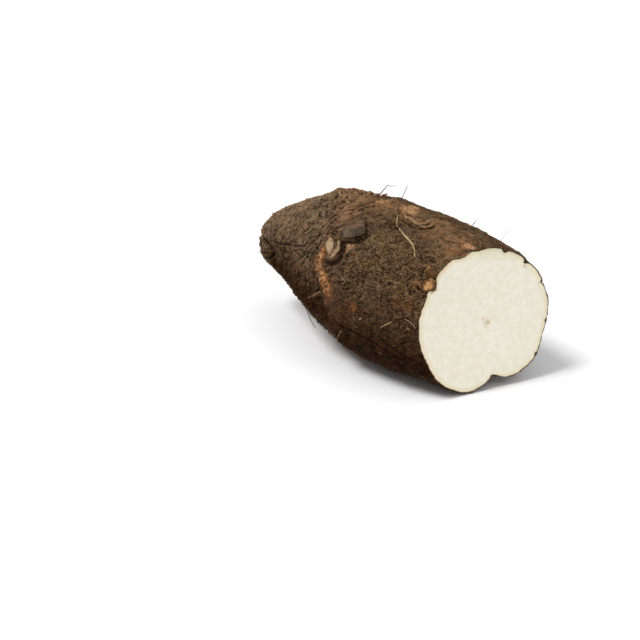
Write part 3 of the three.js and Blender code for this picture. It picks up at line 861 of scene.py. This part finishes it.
hairs = {
    "dark": [  # places (x, angle, lift)
        [(-20, 205, -0.2), (-16, 210, 3), (-10, 216, 5)],
        [(10, 30, -0.2), (16, 28, 4), (24, 30, 7), (30, 36, 9)],
        [(-50, 330, -0.2), (-46, 334, 4), (-38, 338, 6)],
        [(-33, 120, -0.2), (-30, 122, 1), (-24, 126, 0.4)],
        [(67.5, 122.2, 0.2), (69.6, 120.5, 0.8), (70.8, 119.2, 0.8), (74.1, 119.1, 0.2)],
        [(-60, 60, -0.2), (-58, 56, 4), (-62, 50, 7)],
    ],
    "pale": [
        [(86.1, 171.4, 0), (90, 172, 0.8), (94.4, 173.9, 0.8), (95.8, 175.6, 0.9)],
        [(88.8, 177.8, 0.1), (91.4, 177.3, 0.9)],
        [(24.4, 159.4, 0), (27.5, 159.8, 0.8), (29.6, 160.9, 0.6), (27.9, 164, 0.2)],
        [(-96, 190, -0.2), (-100, 196, 3), (-108, 202, 5), (-114, 204, 9)],
        [(60, 350, -0.2), (66, 352, 4), (76, 350, 5)],
        [(-2, 165, -0.2), (3, 168, 1.2), (10, 164, 1.6), (14, 160, 0.4)],
        [(4, 178, -0.2), (-2, 184, 2), (-6, 186, 3)],
        [(26, 200, -0.2), (22, 206, 2), (18, 210, 3)],
    ],
    "darkFree": [  # a place (x, angle) on the skin, then steps away from it in mm
        ((27, 100), [(-1.4, 2.3, 3.3), (-5.1, 8.5, 7.8), (-7.1, 14.1, 11.6), (-8.7, 18.5, 14.2)]),
        ((-17, 75), [(1.6, 4.1, 3.7), (2.6, 6.6, 6.6), (4.1, 8.5, 6.3), (6.9, 11.5, 6.3)]),
    ],
    "paleFree": [
        ((82, 64), [(1.5, 3.5, 5), (3, 7, 8), (6, 10, 9.5), (9, 12, 9.8)]),
        ((60, 70), [(2, 3, 3.5), (3.5, 5, 6.5), (4.2, 7, 9)]),
    ],
    "radius": {"dark": 0.32, "pale": 0.15},
    "fibres": {"dark": 150, "pale": 110},
    "length": (1.5, 5),
    "fibreRadius": 0.08,
}


def makeHairs(kind, seed):
    parts = []
    lines = [skinPath(places, 26) for places in hairs[kind]]
    for (x, angle), away in hairs[kind + "Free"]:
        lines.append(smoothPath(skinPoint(x, angle, -0.3) + np.array([(0, 0, 0), *away]), 26))
    for path in lines:
        path = path + 0.3 * np.stack([softNoise(path / 3, seed + k) for k in range(3)], -1)
        taper = hairs["radius"][kind] * np.linspace(1.25, 0.5, 26)
        parts.append(tubeArrays(path[None], taper[None], 6))
    draw = np.random.RandomState(seed)
    n = hairs["fibres"][kind]
    x = draw.uniform(firstX + 6, lastX - 4, n)[:, None]
    angle = draw.uniform(-60, 240, n)[:, None] % 360
    length = draw.uniform(*hairs["length"], n)[:, None]
    s = np.linspace(0, 1, 8)
    turn = draw.uniform(0, 2 * math.pi, n)[:, None] + draw.normal(0, 0.9, n)[:, None] * s
    ahead = np.cumsum(np.cos(turn), 1) / 8 * length
    across = np.cumsum(np.sin(turn), 1) / 8 * length
    radius = through(x, 2) * math.pi / 180
    lift = draw.uniform(0.1, 1.2, n)[:, None] * np.sin(s * math.pi * draw.uniform(0.5, 1, n)[:, None])
    x, angle = np.minimum(x + ahead, lastX - 1), angle + across / radius
    fine, lumps, masks = barkDetail(x, angle, skinPoint(x, angle))
    paths = skinPoint(x, angle, lift + 0.1 + np.maximum(fine + lumps, 0))
    taper = hairs["fibreRadius"] * (1 - 0.5 * s) * np.ones((n, 1))
    parts.append(tubeArrays(paths, taper, 4))
    return addMesh(kind + "Hairs", parts)


rootPiece = makeRoots()
curlPiece = addMesh("rimCurl", [rimCurl()])
rootletPiece = makeRootlets()
hairPieces = [makeHairs("dark", 81), makeHairs("pale", 91)]
print("roots and hairs made")

plates = {  # rows of places (x, angle, lift) from the attached edge to the free one
    "greyFlake": {"rows": [
        [(-7.6, 126.4, -0.9), (-4.2, 121.2, -0.9), (0.4, 117.4, -0.9), (5.2, 114.9, -0.9), (10, 113.5, -0.9)],
        [(-2.8, 128.7, -0.3), (2, 125.4, 0.6), (7, 122.7, 0.8), (11.8, 120.1, 1), (17.2, 118.2, 0.9)],
        [(3.5, 131.5, 0.2), (8.3, 129.7, 1.5), (13, 127.5, 1.8), (18.1, 125, 1.8), (23.6, 122.5, 1.8)],
        [(8.7, 134.8, 0.4), (14.5, 134.2, 2), (19.3, 132.1, 2.4), (23.7, 129.1, 2.4), (26.5, 125.2, 2)],
    ], "square": 9, "thickness": 1.0, "ragged": 0.12, "rough": 0.3, "inner": (2, 3), "seed": 3},
    "curledFlake": {"rows": [
        [(2.7, 149.9, -0.5), (5.8, 151.2, 0.3), (8, 152, 0.6), (8.9, 152, 0.8), (10.3, 151.9, 0.9), (11.7, 151.4, 1)],
        [(0, 147.4, -0.1), (5.2, 147.1, 1.6), (8.6, 146.8, 2), (8.6, 147.3, 1.5), (11.7, 146.9, 1.7), (14.7, 146, 2.7)],
        [(-3.4, 144.4, 0), (3.1, 143.3, 2), (7.3, 142.4, 2.5), (6.5, 142.2, -0.3), (10, 142, 1.1), (14.4, 141.3, 2.9)],
        [(-4.5, 141.2, -0.1), (0.3, 140, 1.7), (3.2, 139.5, 2.1), (3.5, 139, -0.4), (7.1, 138.4, 0.9), (11.7, 137.7, 2.5)],
        [(-5.8, 138.1, -0.9), (-4.1, 137.4, 0.3), (-2.7, 137.2, 0.2), (0.3, 137.5, -1), (4, 136.2, 0.2), (7.5, 136, 0.8)],
    ], "square": 2.3, "thickness": 0.9, "ragged": 0.1, "rough": 0.35, "inner": (0.5, 0.78), "seed": 5},
    "lowShred": {"rows": [
        [(87.6, 143.7, -0.9), (88.6, 140.7, -0.9), (90, 137.4, -0.9), (92, 135.5, -0.8)],
        [(90.6, 146.1, 0.2), (92, 143, 0.7), (93.5, 139.6, 0.8), (94.6, 136.4, 0.4)],
        [(94.4, 146.9, 1.4), (96.3, 144.2, 1.1), (96.8, 140.6, 0.9), (96.8, 136.8, 0.4)],
        [(96.8, 146, 1), (97.1, 144.5, -1.6), (97.2, 141.3, -2.2), (97, 137.6, -0.7)],
    ], "square": 3.4, "thickness": 0.8, "ragged": 0.2, "rough": 0.4, "inner": (0.7, 0.84), "seed": 6},
    "highShred": {"rows": [
        [(83.8, 134.3, -0.9), (84.8, 130.8, -0.9), (87.2, 128.5, -0.9)],
        [(87.4, 136.5, 0.1), (89.9, 133.2, 0.9), (92.5, 130, 0.5)],
        [(91, 138, 0.2), (94.4, 135.4, 1), (96.4, 132.6, 0.7)],
        [(93.5, 138.6, -0.5), (96.6, 136.2, -0.2), (97.1, 133.4, -0.4)],
    ], "square": 3, "thickness": 0.8, "ragged": 0.24, "rough": 0.6, "inner": (2, 3), "seed": 7},
}


# How much each of some evenly spaced points counts at a place between them, 0 to 1, on
# a smooth curve that passes through all of them.
def curveShares(count, place):
    t = np.clip(place, 0, 1) * (count - 1)
    k = np.minimum(t.astype(int), count - 2)
    f = t - k
    four = 0.5 * np.stack([-f + 2 * f ** 2 - f ** 3, 2 - 5 * f ** 2 + 3 * f ** 3,
                           f + 4 * f ** 2 - 3 * f ** 3, -f ** 2 + f ** 3], -1)
    whole = np.zeros(place.shape + (count + 2,))
    np.put_along_axis(whole, k[..., None] + np.arange(4), four, -1)
    whole[..., 1] += 2 * whole[..., 0]
    whole[..., 2] -= whole[..., 0]
    whole[..., -2] += 2 * whole[..., -1]
    whole[..., -3] -= whole[..., -1]
    return whole[..., 1:-1]


# A flake of bark: a smooth surface through its rows of places, cut to a rounded square
# with a ragged edge. The underside lies one thickness in along the normal.
def makePlate(name):
    p = plates[name]
    sides, steps = 110, 26
    a = np.arange(sides) * 2 * math.pi / sides
    share = np.linspace(0, 1, steps + 1)[1:, None]
    reach = (np.abs(np.cos(a)) ** p["square"] + np.abs(np.sin(a)) ** p["square"]) ** (-1 / p["square"])
    circle = np.stack([np.cos(a), np.sin(a), 0 * a], -1)
    ragged = softNoise(circle * 2.2, p["seed"]) + 0.5 * softNoise(circle * 6, p["seed"])
    reach = reach * share * (1 + share ** 5 * p["ragged"] * np.minimum(ragged - 0.6, 0))
    across, down = 0.5 + 0.5 * reach * np.cos(a), 0.5 + 0.5 * reach * np.sin(a)
    corners = np.array(p["rows"], float)
    shares = curveShares(corners.shape[0], down), curveShares(corners.shape[1], across)
    x, angle, rise = np.moveaxis(np.einsum("...i,...j,ijk->...k", *shares, corners), -1, 0)
    place = skinPoint(x, angle)
    near, far, level = crumbNoise(place / 1.9, p["seed"])
    rough = p["rough"] * (0.9 * (0.5 - near) + 0.8 * softNoise(place / 1.2, p["seed"] + 1))
    top = skinPoint(x, angle, rise + 1.2 * p["rough"] * softNoise(place / 3.2, p["seed"]) + rough)
    normals = gridNormals(top)
    inverted = (normals * (top - [0, 0, 55])).sum() < 0
    thick = p["thickness"] * (1 - 0.6 * share ** 6)
    bottom = top + normals * thick[..., None] * (1 if inverted else -1)
    rings = np.concatenate([top, bottom[::-1]])
    ends = [top[0].mean(0), bottom[0].mean(0)]
    rimmed = np.broadcast_to(share ** 9, down.shape)
    inner = smoothStep(across, p["inner"][0] - 0.06, p["inner"][0]) * smoothStep(across, p["inner"][1] + 0.05, p["inner"][1])
    inner *= smoothStep(down, 0.35, 0.55)
    # sunk is 1 where the flake lies low, as in the curled flake's fold; it darkens the colour there as painted shade.
    sunk = smoothStep(rise, 1.3, 0) * smoothStep(down, 0.1, 0.3)
    values = {"free": np.concatenate([down, down[::-1]]),
              "side": np.concatenate([across, across[::-1]]),
              "edge": np.concatenate([rimmed, np.ones_like(rimmed)]),
              "sunk": np.concatenate([sunk, 0 * sunk]),
              "inner": np.concatenate([inner, 0 * inner]),
              "rough": np.concatenate([0.5 + rough, 0.3 + 0 * rough])}
    return ringMesh(name, rings, ends, (), values, flip=bool(inverted))


platePieces = [makePlate(name) for name in plates]
print("flakes made")


def linear(r, g, b):
    c = np.array([r, g, b]) / 255
    return (*np.where(c <= 0.04045, c / 12.92, ((c + 0.055) / 1.055) ** 2.4), 1.0)


# A node with its settings, and inputs that are values or other nodes' sockets.
def node(tree, kind, settings=None, inputs=None):
    made = tree.nodes.new(kind)
    for key, value in (settings or {}).items():
        setattr(made, key, value)
    for key, value in (inputs or {}).items():
        if isinstance(value, bpy.types.NodeSocket):
            tree.links.new(value, made.inputs[key])
        else:
            made.inputs[key].default_value = value
    return made


def mixColour(tree, factor, low, high, blend="MIX"):
    made = node(tree, "ShaderNodeMix", {"data_type": "RGBA", "blend_type": blend})
    for index, value in ((0, factor), (6, low), (7, high)):
        if isinstance(value, bpy.types.NodeSocket):
            tree.links.new(value, made.inputs[index])
        else:
            made.inputs[index].default_value = value
    return made.outputs[2]


def maths(tree, operation, first, second=0.0, third=0.0, clamp=False):
    made = node(tree, "ShaderNodeMath", {"operation": operation, "use_clamp": clamp})
    for index, value in enumerate((first, second, third)):
        if isinstance(value, bpy.types.NodeSocket):
            tree.links.new(value, made.inputs[index])
        else:
            made.inputs[index].default_value = value
    return made.outputs[0]


def stretch(tree, value, low, high):
    made = node(tree, "ShaderNodeMapRange", {"interpolation_type": "SMOOTHSTEP"},
                {"Value": value, "From Min": low, "From Max": high})
    return made.outputs["Result"]


def noise(tree, place, size, detail=3.0, rough=0.55):
    made = node(tree, "ShaderNodeTexNoise", {"noise_dimensions": "3D"},
                {"Vector": place, "Scale": 1 / (size * metresPerMm), "Detail": detail, "Roughness": rough})
    return made.outputs["Fac"]


def fieldOf(tree, name):
    return node(tree, "ShaderNodeAttribute", {"attribute_name": name}).outputs["Fac"]


def surface(name):
    material = bpy.data.materials.new(name)
    material.use_nodes = True
    tree = material.node_tree
    tree.nodes.clear()
    shader = node(tree, "ShaderNodeBsdfPrincipled")
    output = node(tree, "ShaderNodeOutputMaterial")
    tree.links.new(shader.outputs["BSDF"], output.inputs["Surface"])
    place = node(tree, "ShaderNodeTexCoord").outputs["Object"]
    return material, tree, shader, place


# Dry plant surface shared by bark, flakes and roots: flecks of dust and dark specks over
# a colour, and a height for the bump.
def dryGrainGroup():
    group = bpy.data.node_groups.new("dryGrain", "ShaderNodeTree")
    for name, kind in (("Place", "NodeSocketVector"), ("Color", "NodeSocketColor"), ("Dust", "NodeSocketColor"),
                       ("Dark", "NodeSocketColor"), ("Size", "NodeSocketFloat"), ("Amount", "NodeSocketFloat")):
        group.interface.new_socket(name=name, in_out="INPUT", socket_type=kind)
    group.interface.new_socket(name="Color", in_out="OUTPUT", socket_type="NodeSocketColor")
    group.interface.new_socket(name="Height", in_out="OUTPUT", socket_type="NodeSocketFloat")
    start = node(group, "NodeGroupInput")
    end = node(group, "NodeGroupOutput")
    place = start.outputs["Place"]
    scale = maths(group, "DIVIDE", 1 / metresPerMm, start.outputs["Size"])
    fine = node(group, "ShaderNodeTexNoise", None, {"Vector": place, "Scale": scale, "Detail": 3.0, "Roughness": 0.55})
    coarse = node(group, "ShaderNodeTexNoise", None,
                  {"Vector": place, "Scale": maths(group, "MULTIPLY", scale, 0.3), "Detail": 3.0, "Roughness": 0.6})
    light = stretch(group, fine.outputs["Fac"], 0.51, 0.62)
    light = maths(group, "MULTIPLY", light, start.outputs["Amount"])
    dark = stretch(group, fine.outputs["Fac"], 0.46, 0.32)
    dark = maths(group, "MULTIPLY", maths(group, "MULTIPLY", dark, 0.9), stretch(group, coarse.outputs["Fac"], 0.3, 0.55))
    dark = maths(group, "MULTIPLY", dark, start.outputs["Amount"])
    colour = mixColour(group, light, start.outputs["Color"], start.outputs["Dust"])
    colour = mixColour(group, dark, colour, start.outputs["Dark"])
    group.links.new(colour, end.inputs["Color"])
    height = maths(group, "MULTIPLY_ADD", coarse.outputs["Fac"], 0.8, fine.outputs["Fac"])
    group.links.new(height, end.inputs["Height"])
    return group


dryGrain = dryGrainGroup()


def addGrain(tree, place, colour, dust, dark, size, amount):
    made = tree.nodes.new("ShaderNodeGroup")
    made.node_tree = dryGrain
    for key, value in (("Place", place), ("Color", colour), ("Dust", dust), ("Dark", dark), ("Size", size), ("Amount", amount)):
        if isinstance(value, bpy.types.NodeSocket):
            tree.links.new(value, made.inputs[key])
        else:
            made.inputs[key].default_value = value
    return made.outputs["Color"], made.outputs["Height"]


def addBump(tree, shader, height, distance, strength=1.0):
    bump = node(tree, "ShaderNodeBump", None,
                {"Height": height, "Distance": distance * metresPerMm, "Strength": strength})
    tree.links.new(bump.outputs["Normal"], shader.inputs["Normal"])


barkColours = {
    "deep": (27, 17, 8),
    "brown": (79, 57, 36),
    "dusty": (132, 105, 74),
    "dust": (138, 112, 82),
    "mauve": (120, 98, 86),
    "slate": (88, 76, 58),
    "plum": (88, 62, 50),
    "neckLow": (46, 34, 22),
    "neckHigh": (153, 124, 93),
    "moss": (118, 106, 74),
    "pinkish": (152, 112, 88),
    "warm": (156, 116, 80),
    "grey": (112, 95, 74),
    # Painted shade, multiplied over the underside's colour.
    "underShade": (122, 94, 58),
    "rust": (124, 76, 44),
    "ochre": (186, 118, 66),
    "golden": (226, 174, 122),
    "tan": (206, 160, 114),
    "grainSize": 0.88,
    "drawn": Vector((0.6, 1, 1)),  # pattern's scale along each axis
    "bump": 1.7,
}
neckColours = {**barkColours, "dust": (166, 140, 108), "drawn": Vector((1.3, 0.8, 0.8))}
rootColours = {**barkColours, "deep": (58, 42, 28), "brown": (136, 105, 74), "dusty": (172, 139, 104), "dust": (172, 139, 104), "bump": 0.8}


def barkMaterial(name, colours, marked=True):
    c = {key: linear(*value) if isinstance(value, tuple) else value for key, value in colours.items()}
    material, tree, shader, place = surface(name)
    speck = noise(tree, place, 1.8, 3.0)
    uneven = noise(tree, place, 9, 3.0)
    height = fieldOf(tree, "height") if marked else noise(tree, place, 2.2, 3.0)
    level = maths(tree, "MULTIPLY_ADD", uneven, 0.6, maths(tree, "SUBTRACT", height, 0.3))
    colour = mixColour(tree, stretch(tree, level, 0.14, 0.5), c["deep"], c["brown"])
    colour = mixColour(tree, stretch(tree, level, 0.45, 0.9), colour, c["dusty"])
    if marked:
        share = maths(tree, "MULTIPLY", stretch(tree, noise(tree, place, 14, 3.0), 0.52, 0.66), stretch(tree, level, 0.2, 0.8))
        colour = mixColour(tree, maths(tree, "MULTIPLY", share, 0.7), colour, c["grey"])
        share = maths(tree, "MULTIPLY", stretch(tree, noise(tree, place, 10, 4.0), 0.47, 0.34), 0.6)
        colour = mixColour(tree, share, colour, c["plum"])
        neck = mixColour(tree, stretch(tree, level, 0.12, 0.95), c["neckLow"], c["neckHigh"])
        blotch = noise(tree, place, 7, 4.0)
        neck = mixColour(tree, maths(tree, "MULTIPLY", stretch(tree, blotch, 0.48, 0.62), 0.5), neck, c["pinkish"])
        neck = mixColour(tree, maths(tree, "MULTIPLY", stretch(tree, blotch, 0.46, 0.34), 0.4), neck, c["moss"])
        share = maths(tree, "MULTIPLY", stretch(tree, noise(tree, place, 8, 4.0), 0.5, 0.62), 0.6)
        neck = mixColour(tree, share, neck, c["mauve"])
        neck = mixColour(tree, stretch(tree, level, 0.5, 0.1), neck, c["neckLow"])
        share = maths(tree, "MULTIPLY", fieldOf(tree, "neck"), stretch(tree, noise(tree, place, 13, 2.0), 0.25, 0.55))
        colour = mixColour(tree, share, colour, neck)
        share = maths(tree, "MULTIPLY", fieldOf(tree, "collar"), stretch(tree, level, 0.3, 0.7))
        colour = mixColour(tree, maths(tree, "MULTIPLY", share, 0.6), colour, c["pinkish"])
        share = maths(tree, "MULTIPLY", fieldOf(tree, "warm"), stretch(tree, level, 0.15, 0.75))
        colour = mixColour(tree, maths(tree, "MULTIPLY", share, 0.75), colour, c["warm"])
        rust = maths(tree, "MULTIPLY", fieldOf(tree, "rust"), stretch(tree, level, 0.15, 0.6))
        colour = mixColour(tree, maths(tree, "MULTIPLY", rust, 0.72), colour, c["rust"])
        ochre = maths(tree, "MULTIPLY", fieldOf(tree, "ochre"), stretch(tree, level, 0.0, 0.45))
        ochre = maths(tree, "MULTIPLY", ochre, stretch(tree, speck, 0.3, 0.5))
        colour = mixColour(tree, ochre, colour, c["ochre"])
    drawn = node(tree, "ShaderNodeVectorMath", {"operation": "MULTIPLY"}, {0: place, 1: c["drawn"]}).outputs[0]
    amount = maths(tree, "MULTIPLY_ADD", fieldOf(tree, "calm"), -0.4, 0.85) if marked else 0.7
    colour, fineHeight = addGrain(tree, drawn, colour, c["dust"], c["deep"], c["grainSize"], amount)
    if marked:
        grains = maths(tree, "MULTIPLY", fieldOf(tree, "golden"), stretch(tree, speck, 0.5, 0.4))
        colour = mixColour(tree, maths(tree, "MULTIPLY", grains, 0.7), colour, c["rust"])
        golden = maths(tree, "MULTIPLY", fieldOf(tree, "golden"), stretch(tree, speck, 0.44, 0.58))
        colour = mixColour(tree, golden, colour, c["golden"])
        tan = maths(tree, "MULTIPLY", fieldOf(tree, "tan"), stretch(tree, level, 0.0, 0.5))
        tanColour = mixColour(tree, stretch(tree, speck, 0.65, 0.4), c["tan"], c["warm"])
        colour = mixColour(tree, maths(tree, "MULTIPLY", tan, 0.9), colour, tanColour)
        colour = mixColour(tree, maths(tree, "MULTIPLY", fieldOf(tree, "slate"), 0.6), colour, c["slate"])
        colour = mixColour(tree, maths(tree, "MULTIPLY", fieldOf(tree, "crack"), 0.9), colour, c["deep"])
        # Painted shade: the underside and lower flank darkened by multiplying their colour.
        colour = mixColour(tree, fieldOf(tree, "under"), colour, c["underShade"], "MULTIPLY")
    tree.links.new(colour, shader.inputs["Base Color"])
    shader.inputs["Roughness"].default_value = 0.9
    shader.inputs["Specular IOR Level"].default_value = 0.08
    addBump(tree, shader, fineHeight, c["bump"])
    return material


# Low, high and edge colour, how far from the attached edge the high one starts, and for a
# flake the colour of its side away from the tip.
plainColours = {
    "greyFlake": ((118, 88, 66), (98, 85, 69), (44, 34, 26), 0.44, (69, 56, 44)),
    "curledFlake": ((92, 68, 46), (168, 142, 110), (120, 92, 66), 0.08, (156, 129, 98)),
    "lowShred": ((104, 70, 40), (188, 142, 94), (140, 104, 66), 0.25, (172, 128, 80)),
    "highShred": ((156, 118, 78), (90, 60, 38), (140, 104, 66), 0.3, (96, 66, 40)),
    "rimCurl": ((50, 32, 18), (94, 62, 36), (62, 40, 24), 0.0),
    "rootlets": ((140, 112, 78), (190, 166, 126), (110, 84, 56), 0.0),
    "darkHairs": ((58, 44, 34), (92, 74, 58), (58, 44, 34), 0.0),
    "paleHairs": ((130, 108, 84), (186, 166, 138), (130, 108, 84), 0.0),
}


# Loose flakes and rootlets: low colour at the attached edge, high at the free one.
def plainMaterial(name):
    low, high, edge = (linear(*colour) for colour in plainColours[name][:3])
    start = plainColours[name][3]
    deep = linear(*barkColours["deep"])
    material, tree, shader, place = surface(name + "Skin")
    mottle = noise(tree, place, 3, 4.0)
    if name in plates:
        level = maths(tree, "MULTIPLY_ADD", mottle, 0.5, maths(tree, "SUBTRACT", fieldOf(tree, "free"), 0.25))
        level = stretch(tree, level, start - 0.08, start + 0.12)
    else:
        level = stretch(tree, mottle, 0.35, 0.6)
    colour = mixColour(tree, level, low, high)
    if name in plates:
        side = maths(tree, "MULTIPLY_ADD", mottle, 0.6, maths(tree, "SUBTRACT", fieldOf(tree, "side"), 0.3))
        far = linear(*plainColours[name][4])
        colour = mixColour(tree, maths(tree, "MULTIPLY", stretch(tree, side, 0.25, 0.7), level), colour, far)
        rough = stretch(tree, fieldOf(tree, "rough"), 0.5, 0.3)
        colour = mixColour(tree, maths(tree, "MULTIPLY", rough, 0.45), colour, deep)
        colour = mixColour(tree, maths(tree, "MULTIPLY", fieldOf(tree, "inner"), 0.75), colour, low)
        colour = mixColour(tree, maths(tree, "MULTIPLY", fieldOf(tree, "edge"), 0.6), colour, edge)
        # Painted shade: the flake's low parts darkened.
        colour = mixColour(tree, maths(tree, "MULTIPLY", fieldOf(tree, "sunk"), 0.8), colour, deep)
    colour, height = addGrain(tree, place, colour, high, deep, 1.2, 0.28)
    tree.links.new(colour, shader.inputs["Base Color"])
    shader.inputs["Roughness"].default_value = 0.88
    shader.inputs["Specular IOR Level"].default_value = 0.08
    addBump(tree, shader, height, 0.7)
    return material


fleshColours = {
    "white": (239, 234, 217),
    "warm": (234, 228, 209),
    "ring": (233, 219, 182),
    "blush": (230, 203, 164),
    "facet": (224, 218, 184),
    "skin": (150, 112, 70),
    "core": (188, 172, 118),
    "fleck": (166, 120, 74),
    "glint": (254, 253, 248),
}


def fleshMaterial():
    c = {key: linear(*value) for key, value in fleshColours.items()}
    material, tree, shader, place = surface("cutFlesh")
    cloudy = noise(tree, place, 4, 4.0)
    colour = mixColour(tree, stretch(tree, cloudy, 0.38, 0.62), c["white"], c["warm"])
    wavy = maths(tree, "MULTIPLY_ADD", noise(tree, place, 2.6, 4.0), 2.4, -1.2)
    fromRim = maths(tree, "ADD", fieldOf(tree, "fromRim"), wavy)
    colour = mixColour(tree, maths(tree, "MULTIPLY", fieldOf(tree, "facet"), 0.35), colour, c["facet"])
    ringColour = mixColour(tree, fieldOf(tree, "blush"), c["ring"], c["blush"])
    ring = stretch(tree, fromRim, 3.8, 1.4)
    colour = mixColour(tree, maths(tree, "MULTIPLY", ring, 0.75), colour, ringColour)
    line = maths(tree, "MULTIPLY_ADD", wavy, 0.15, fieldOf(tree, "fromRim"))
    colour = mixColour(tree, maths(tree, "MULTIPLY", stretch(tree, line, 0.6, 0.1), 0.6), colour, c["skin"])
    core = maths(tree, "MULTIPLY_ADD", wavy, 0.12, fieldOf(tree, "core"))
    colour = mixColour(tree, maths(tree, "MULTIPLY", stretch(tree, core, 0.1, 0.8), 0.85), colour, c["core"])
    fleck = maths(tree, "MULTIPLY_ADD", wavy, 0.2, fieldOf(tree, "fleck"))
    colour = mixColour(tree, maths(tree, "MULTIPLY", stretch(tree, fleck, 0.3, 0.9), 0.6), colour, c["fleck"])
    grit = node(tree, "ShaderNodeTexVoronoi", {"feature": "F1"}, {"Vector": place, "Scale": 1 / (1.5 * metresPerMm)})
    dot = maths(tree, "MULTIPLY", stretch(tree, grit.outputs["Distance"], 0.36, 0.14), 0.8)
    many = maths(tree, "MULTIPLY_ADD", fieldOf(tree, "glint"), 0.5, 0.16)
    chosen = maths(tree, "LESS_THAN", noise(tree, place, 3.1, 2.0), maths(tree, "ADD", many, 0.25))
    dot = maths(tree, "MULTIPLY", dot, chosen)
    colour = mixColour(tree, dot, colour, c["glint"])
    tree.links.new(colour, shader.inputs["Base Color"])
    wet = stretch(tree, noise(tree, place, 1.4, 2.0), 0.5, 0.7)
    tree.links.new(maths(tree, "MULTIPLY_ADD", wet, -0.3, 0.6), shader.inputs["Roughness"])
    height = maths(tree, "ADD", grit.outputs["Distance"], noise(tree, place, 0.8, 3.0))
    addBump(tree, shader, height, 0.1, 0.5)
    shader.inputs["Subsurface Weight"].default_value = 0.15
    shader.inputs["Subsurface Radius"].default_value = (0.003, 0.0024, 0.0015)
    shader.inputs["Subsurface Scale"].default_value = 1.0
    return material


def dress(piece, material):
    piece.data.materials.append(material)
    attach(piece, "root")


dress(bodyPiece, barkMaterial("bodySkin", barkColours))
dress(neckPiece, barkMaterial("neckSkin", neckColours))
dress(fleshPiece, fleshMaterial())
for piece in (bodyPiece, neckPiece, fleshPiece):
    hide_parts("yam")
dress(rootPiece, barkMaterial("rootSkin", rootColours, False))
for piece in [*platePieces, curlPiece, rootletPiece, *hairPieces]:
    dress(piece, plainMaterial(piece.name))
print("materials set")

stage = {
    "floorHalf": 8.0,
    "floorColour": (244, 244, 245),
    "sky": 0.38,
    "camera": {"azimuth": 47, "elevation": 24, "lens": 85, "distance": 1.05, "target": (-0.0235, -0.034, 0.0235)},
    "suns": [  # name, azimuth, elevation, width in degrees, strength
        ("key", -14, 58, 20, 2.3),
        ("top", 60, 75, 80, 0.75),
    ],
    "fill": {"azimuth": 95, "elevation": 30, "distance": 1.6, "size": 1.0, "watts": 2.5},
}


def pointAround(azimuth, elevation, distance, centre):
    a, e = math.radians(azimuth), math.radians(elevation)
    back = Vector((math.sin(a) * math.cos(e), -math.cos(a) * math.cos(e), math.sin(e)))
    return Vector(centre) + back * distance, back


def addLight(data, azimuth, elevation, distance):
    lamp = bpy.data.objects.new(data.name, data)
    lamp.location, back = pointAround(azimuth, elevation, distance, (0, 0, 0.05))
    lamp.rotation_euler = (-back).to_track_quat("-Z", "Y").to_euler()
    bpy.context.scene.collection.objects.link(lamp)


def makeStage():
    half = stage["floorHalf"]
    mesh = bpy.data.meshes.new("floor")
    mesh.from_pydata([(-half, -half, 0), (half, -half, 0), (half, half, 0), (-half, half, 0)], [], [(0, 1, 2, 3)])
    floor = bpy.data.objects.new("floor", mesh)
    bpy.context.scene.collection.objects.link(floor)
    material, tree, shader, place = surface("floorPaper")
    shader.inputs["Base Color"].default_value = linear(*stage["floorColour"])
    shader.inputs["Roughness"].default_value = 0.9
    mesh.materials.append(material)

    for name, azimuth, elevation, width, strength in stage["suns"]:
        data = bpy.data.lights.new(name, "SUN")
        data.angle, data.energy = math.radians(width), strength
        addLight(data, azimuth, elevation, 2)
    f = stage["fill"]
    data = bpy.data.lights.new("fill", "AREA")
    data.shape, data.size, data.energy = "DISK", f["size"], f["watts"]
    addLight(data, f["azimuth"], f["elevation"], f["distance"])

    world = bpy.data.worlds.new("studio")
    world.use_nodes = True
    sky = world.node_tree.nodes["Background"]
    sky.inputs["Color"].default_value = (1, 1, 1, 1)
    sky.inputs["Strength"].default_value = stage["sky"]
    bpy.context.scene.world = world
    bpy.context.scene.view_settings.view_transform = "Standard"


def makeCamera():
    c = stage["camera"]
    data = bpy.data.cameras.new("camera")
    data.lens, data.sensor_width = c["lens"], 36
    data.clip_start, data.clip_end = 0.05, 30
    camera = bpy.data.objects.new("camera", data)
    camera.location, back = pointAround(c["azimuth"], c["elevation"], c["distance"], c["target"])
    camera.rotation_euler = (-back).to_track_quat("-Z", "Y").to_euler()
    bpy.context.scene.collection.objects.link(camera)
    bpy.context.scene.camera = camera


makeStage()
makeCamera()
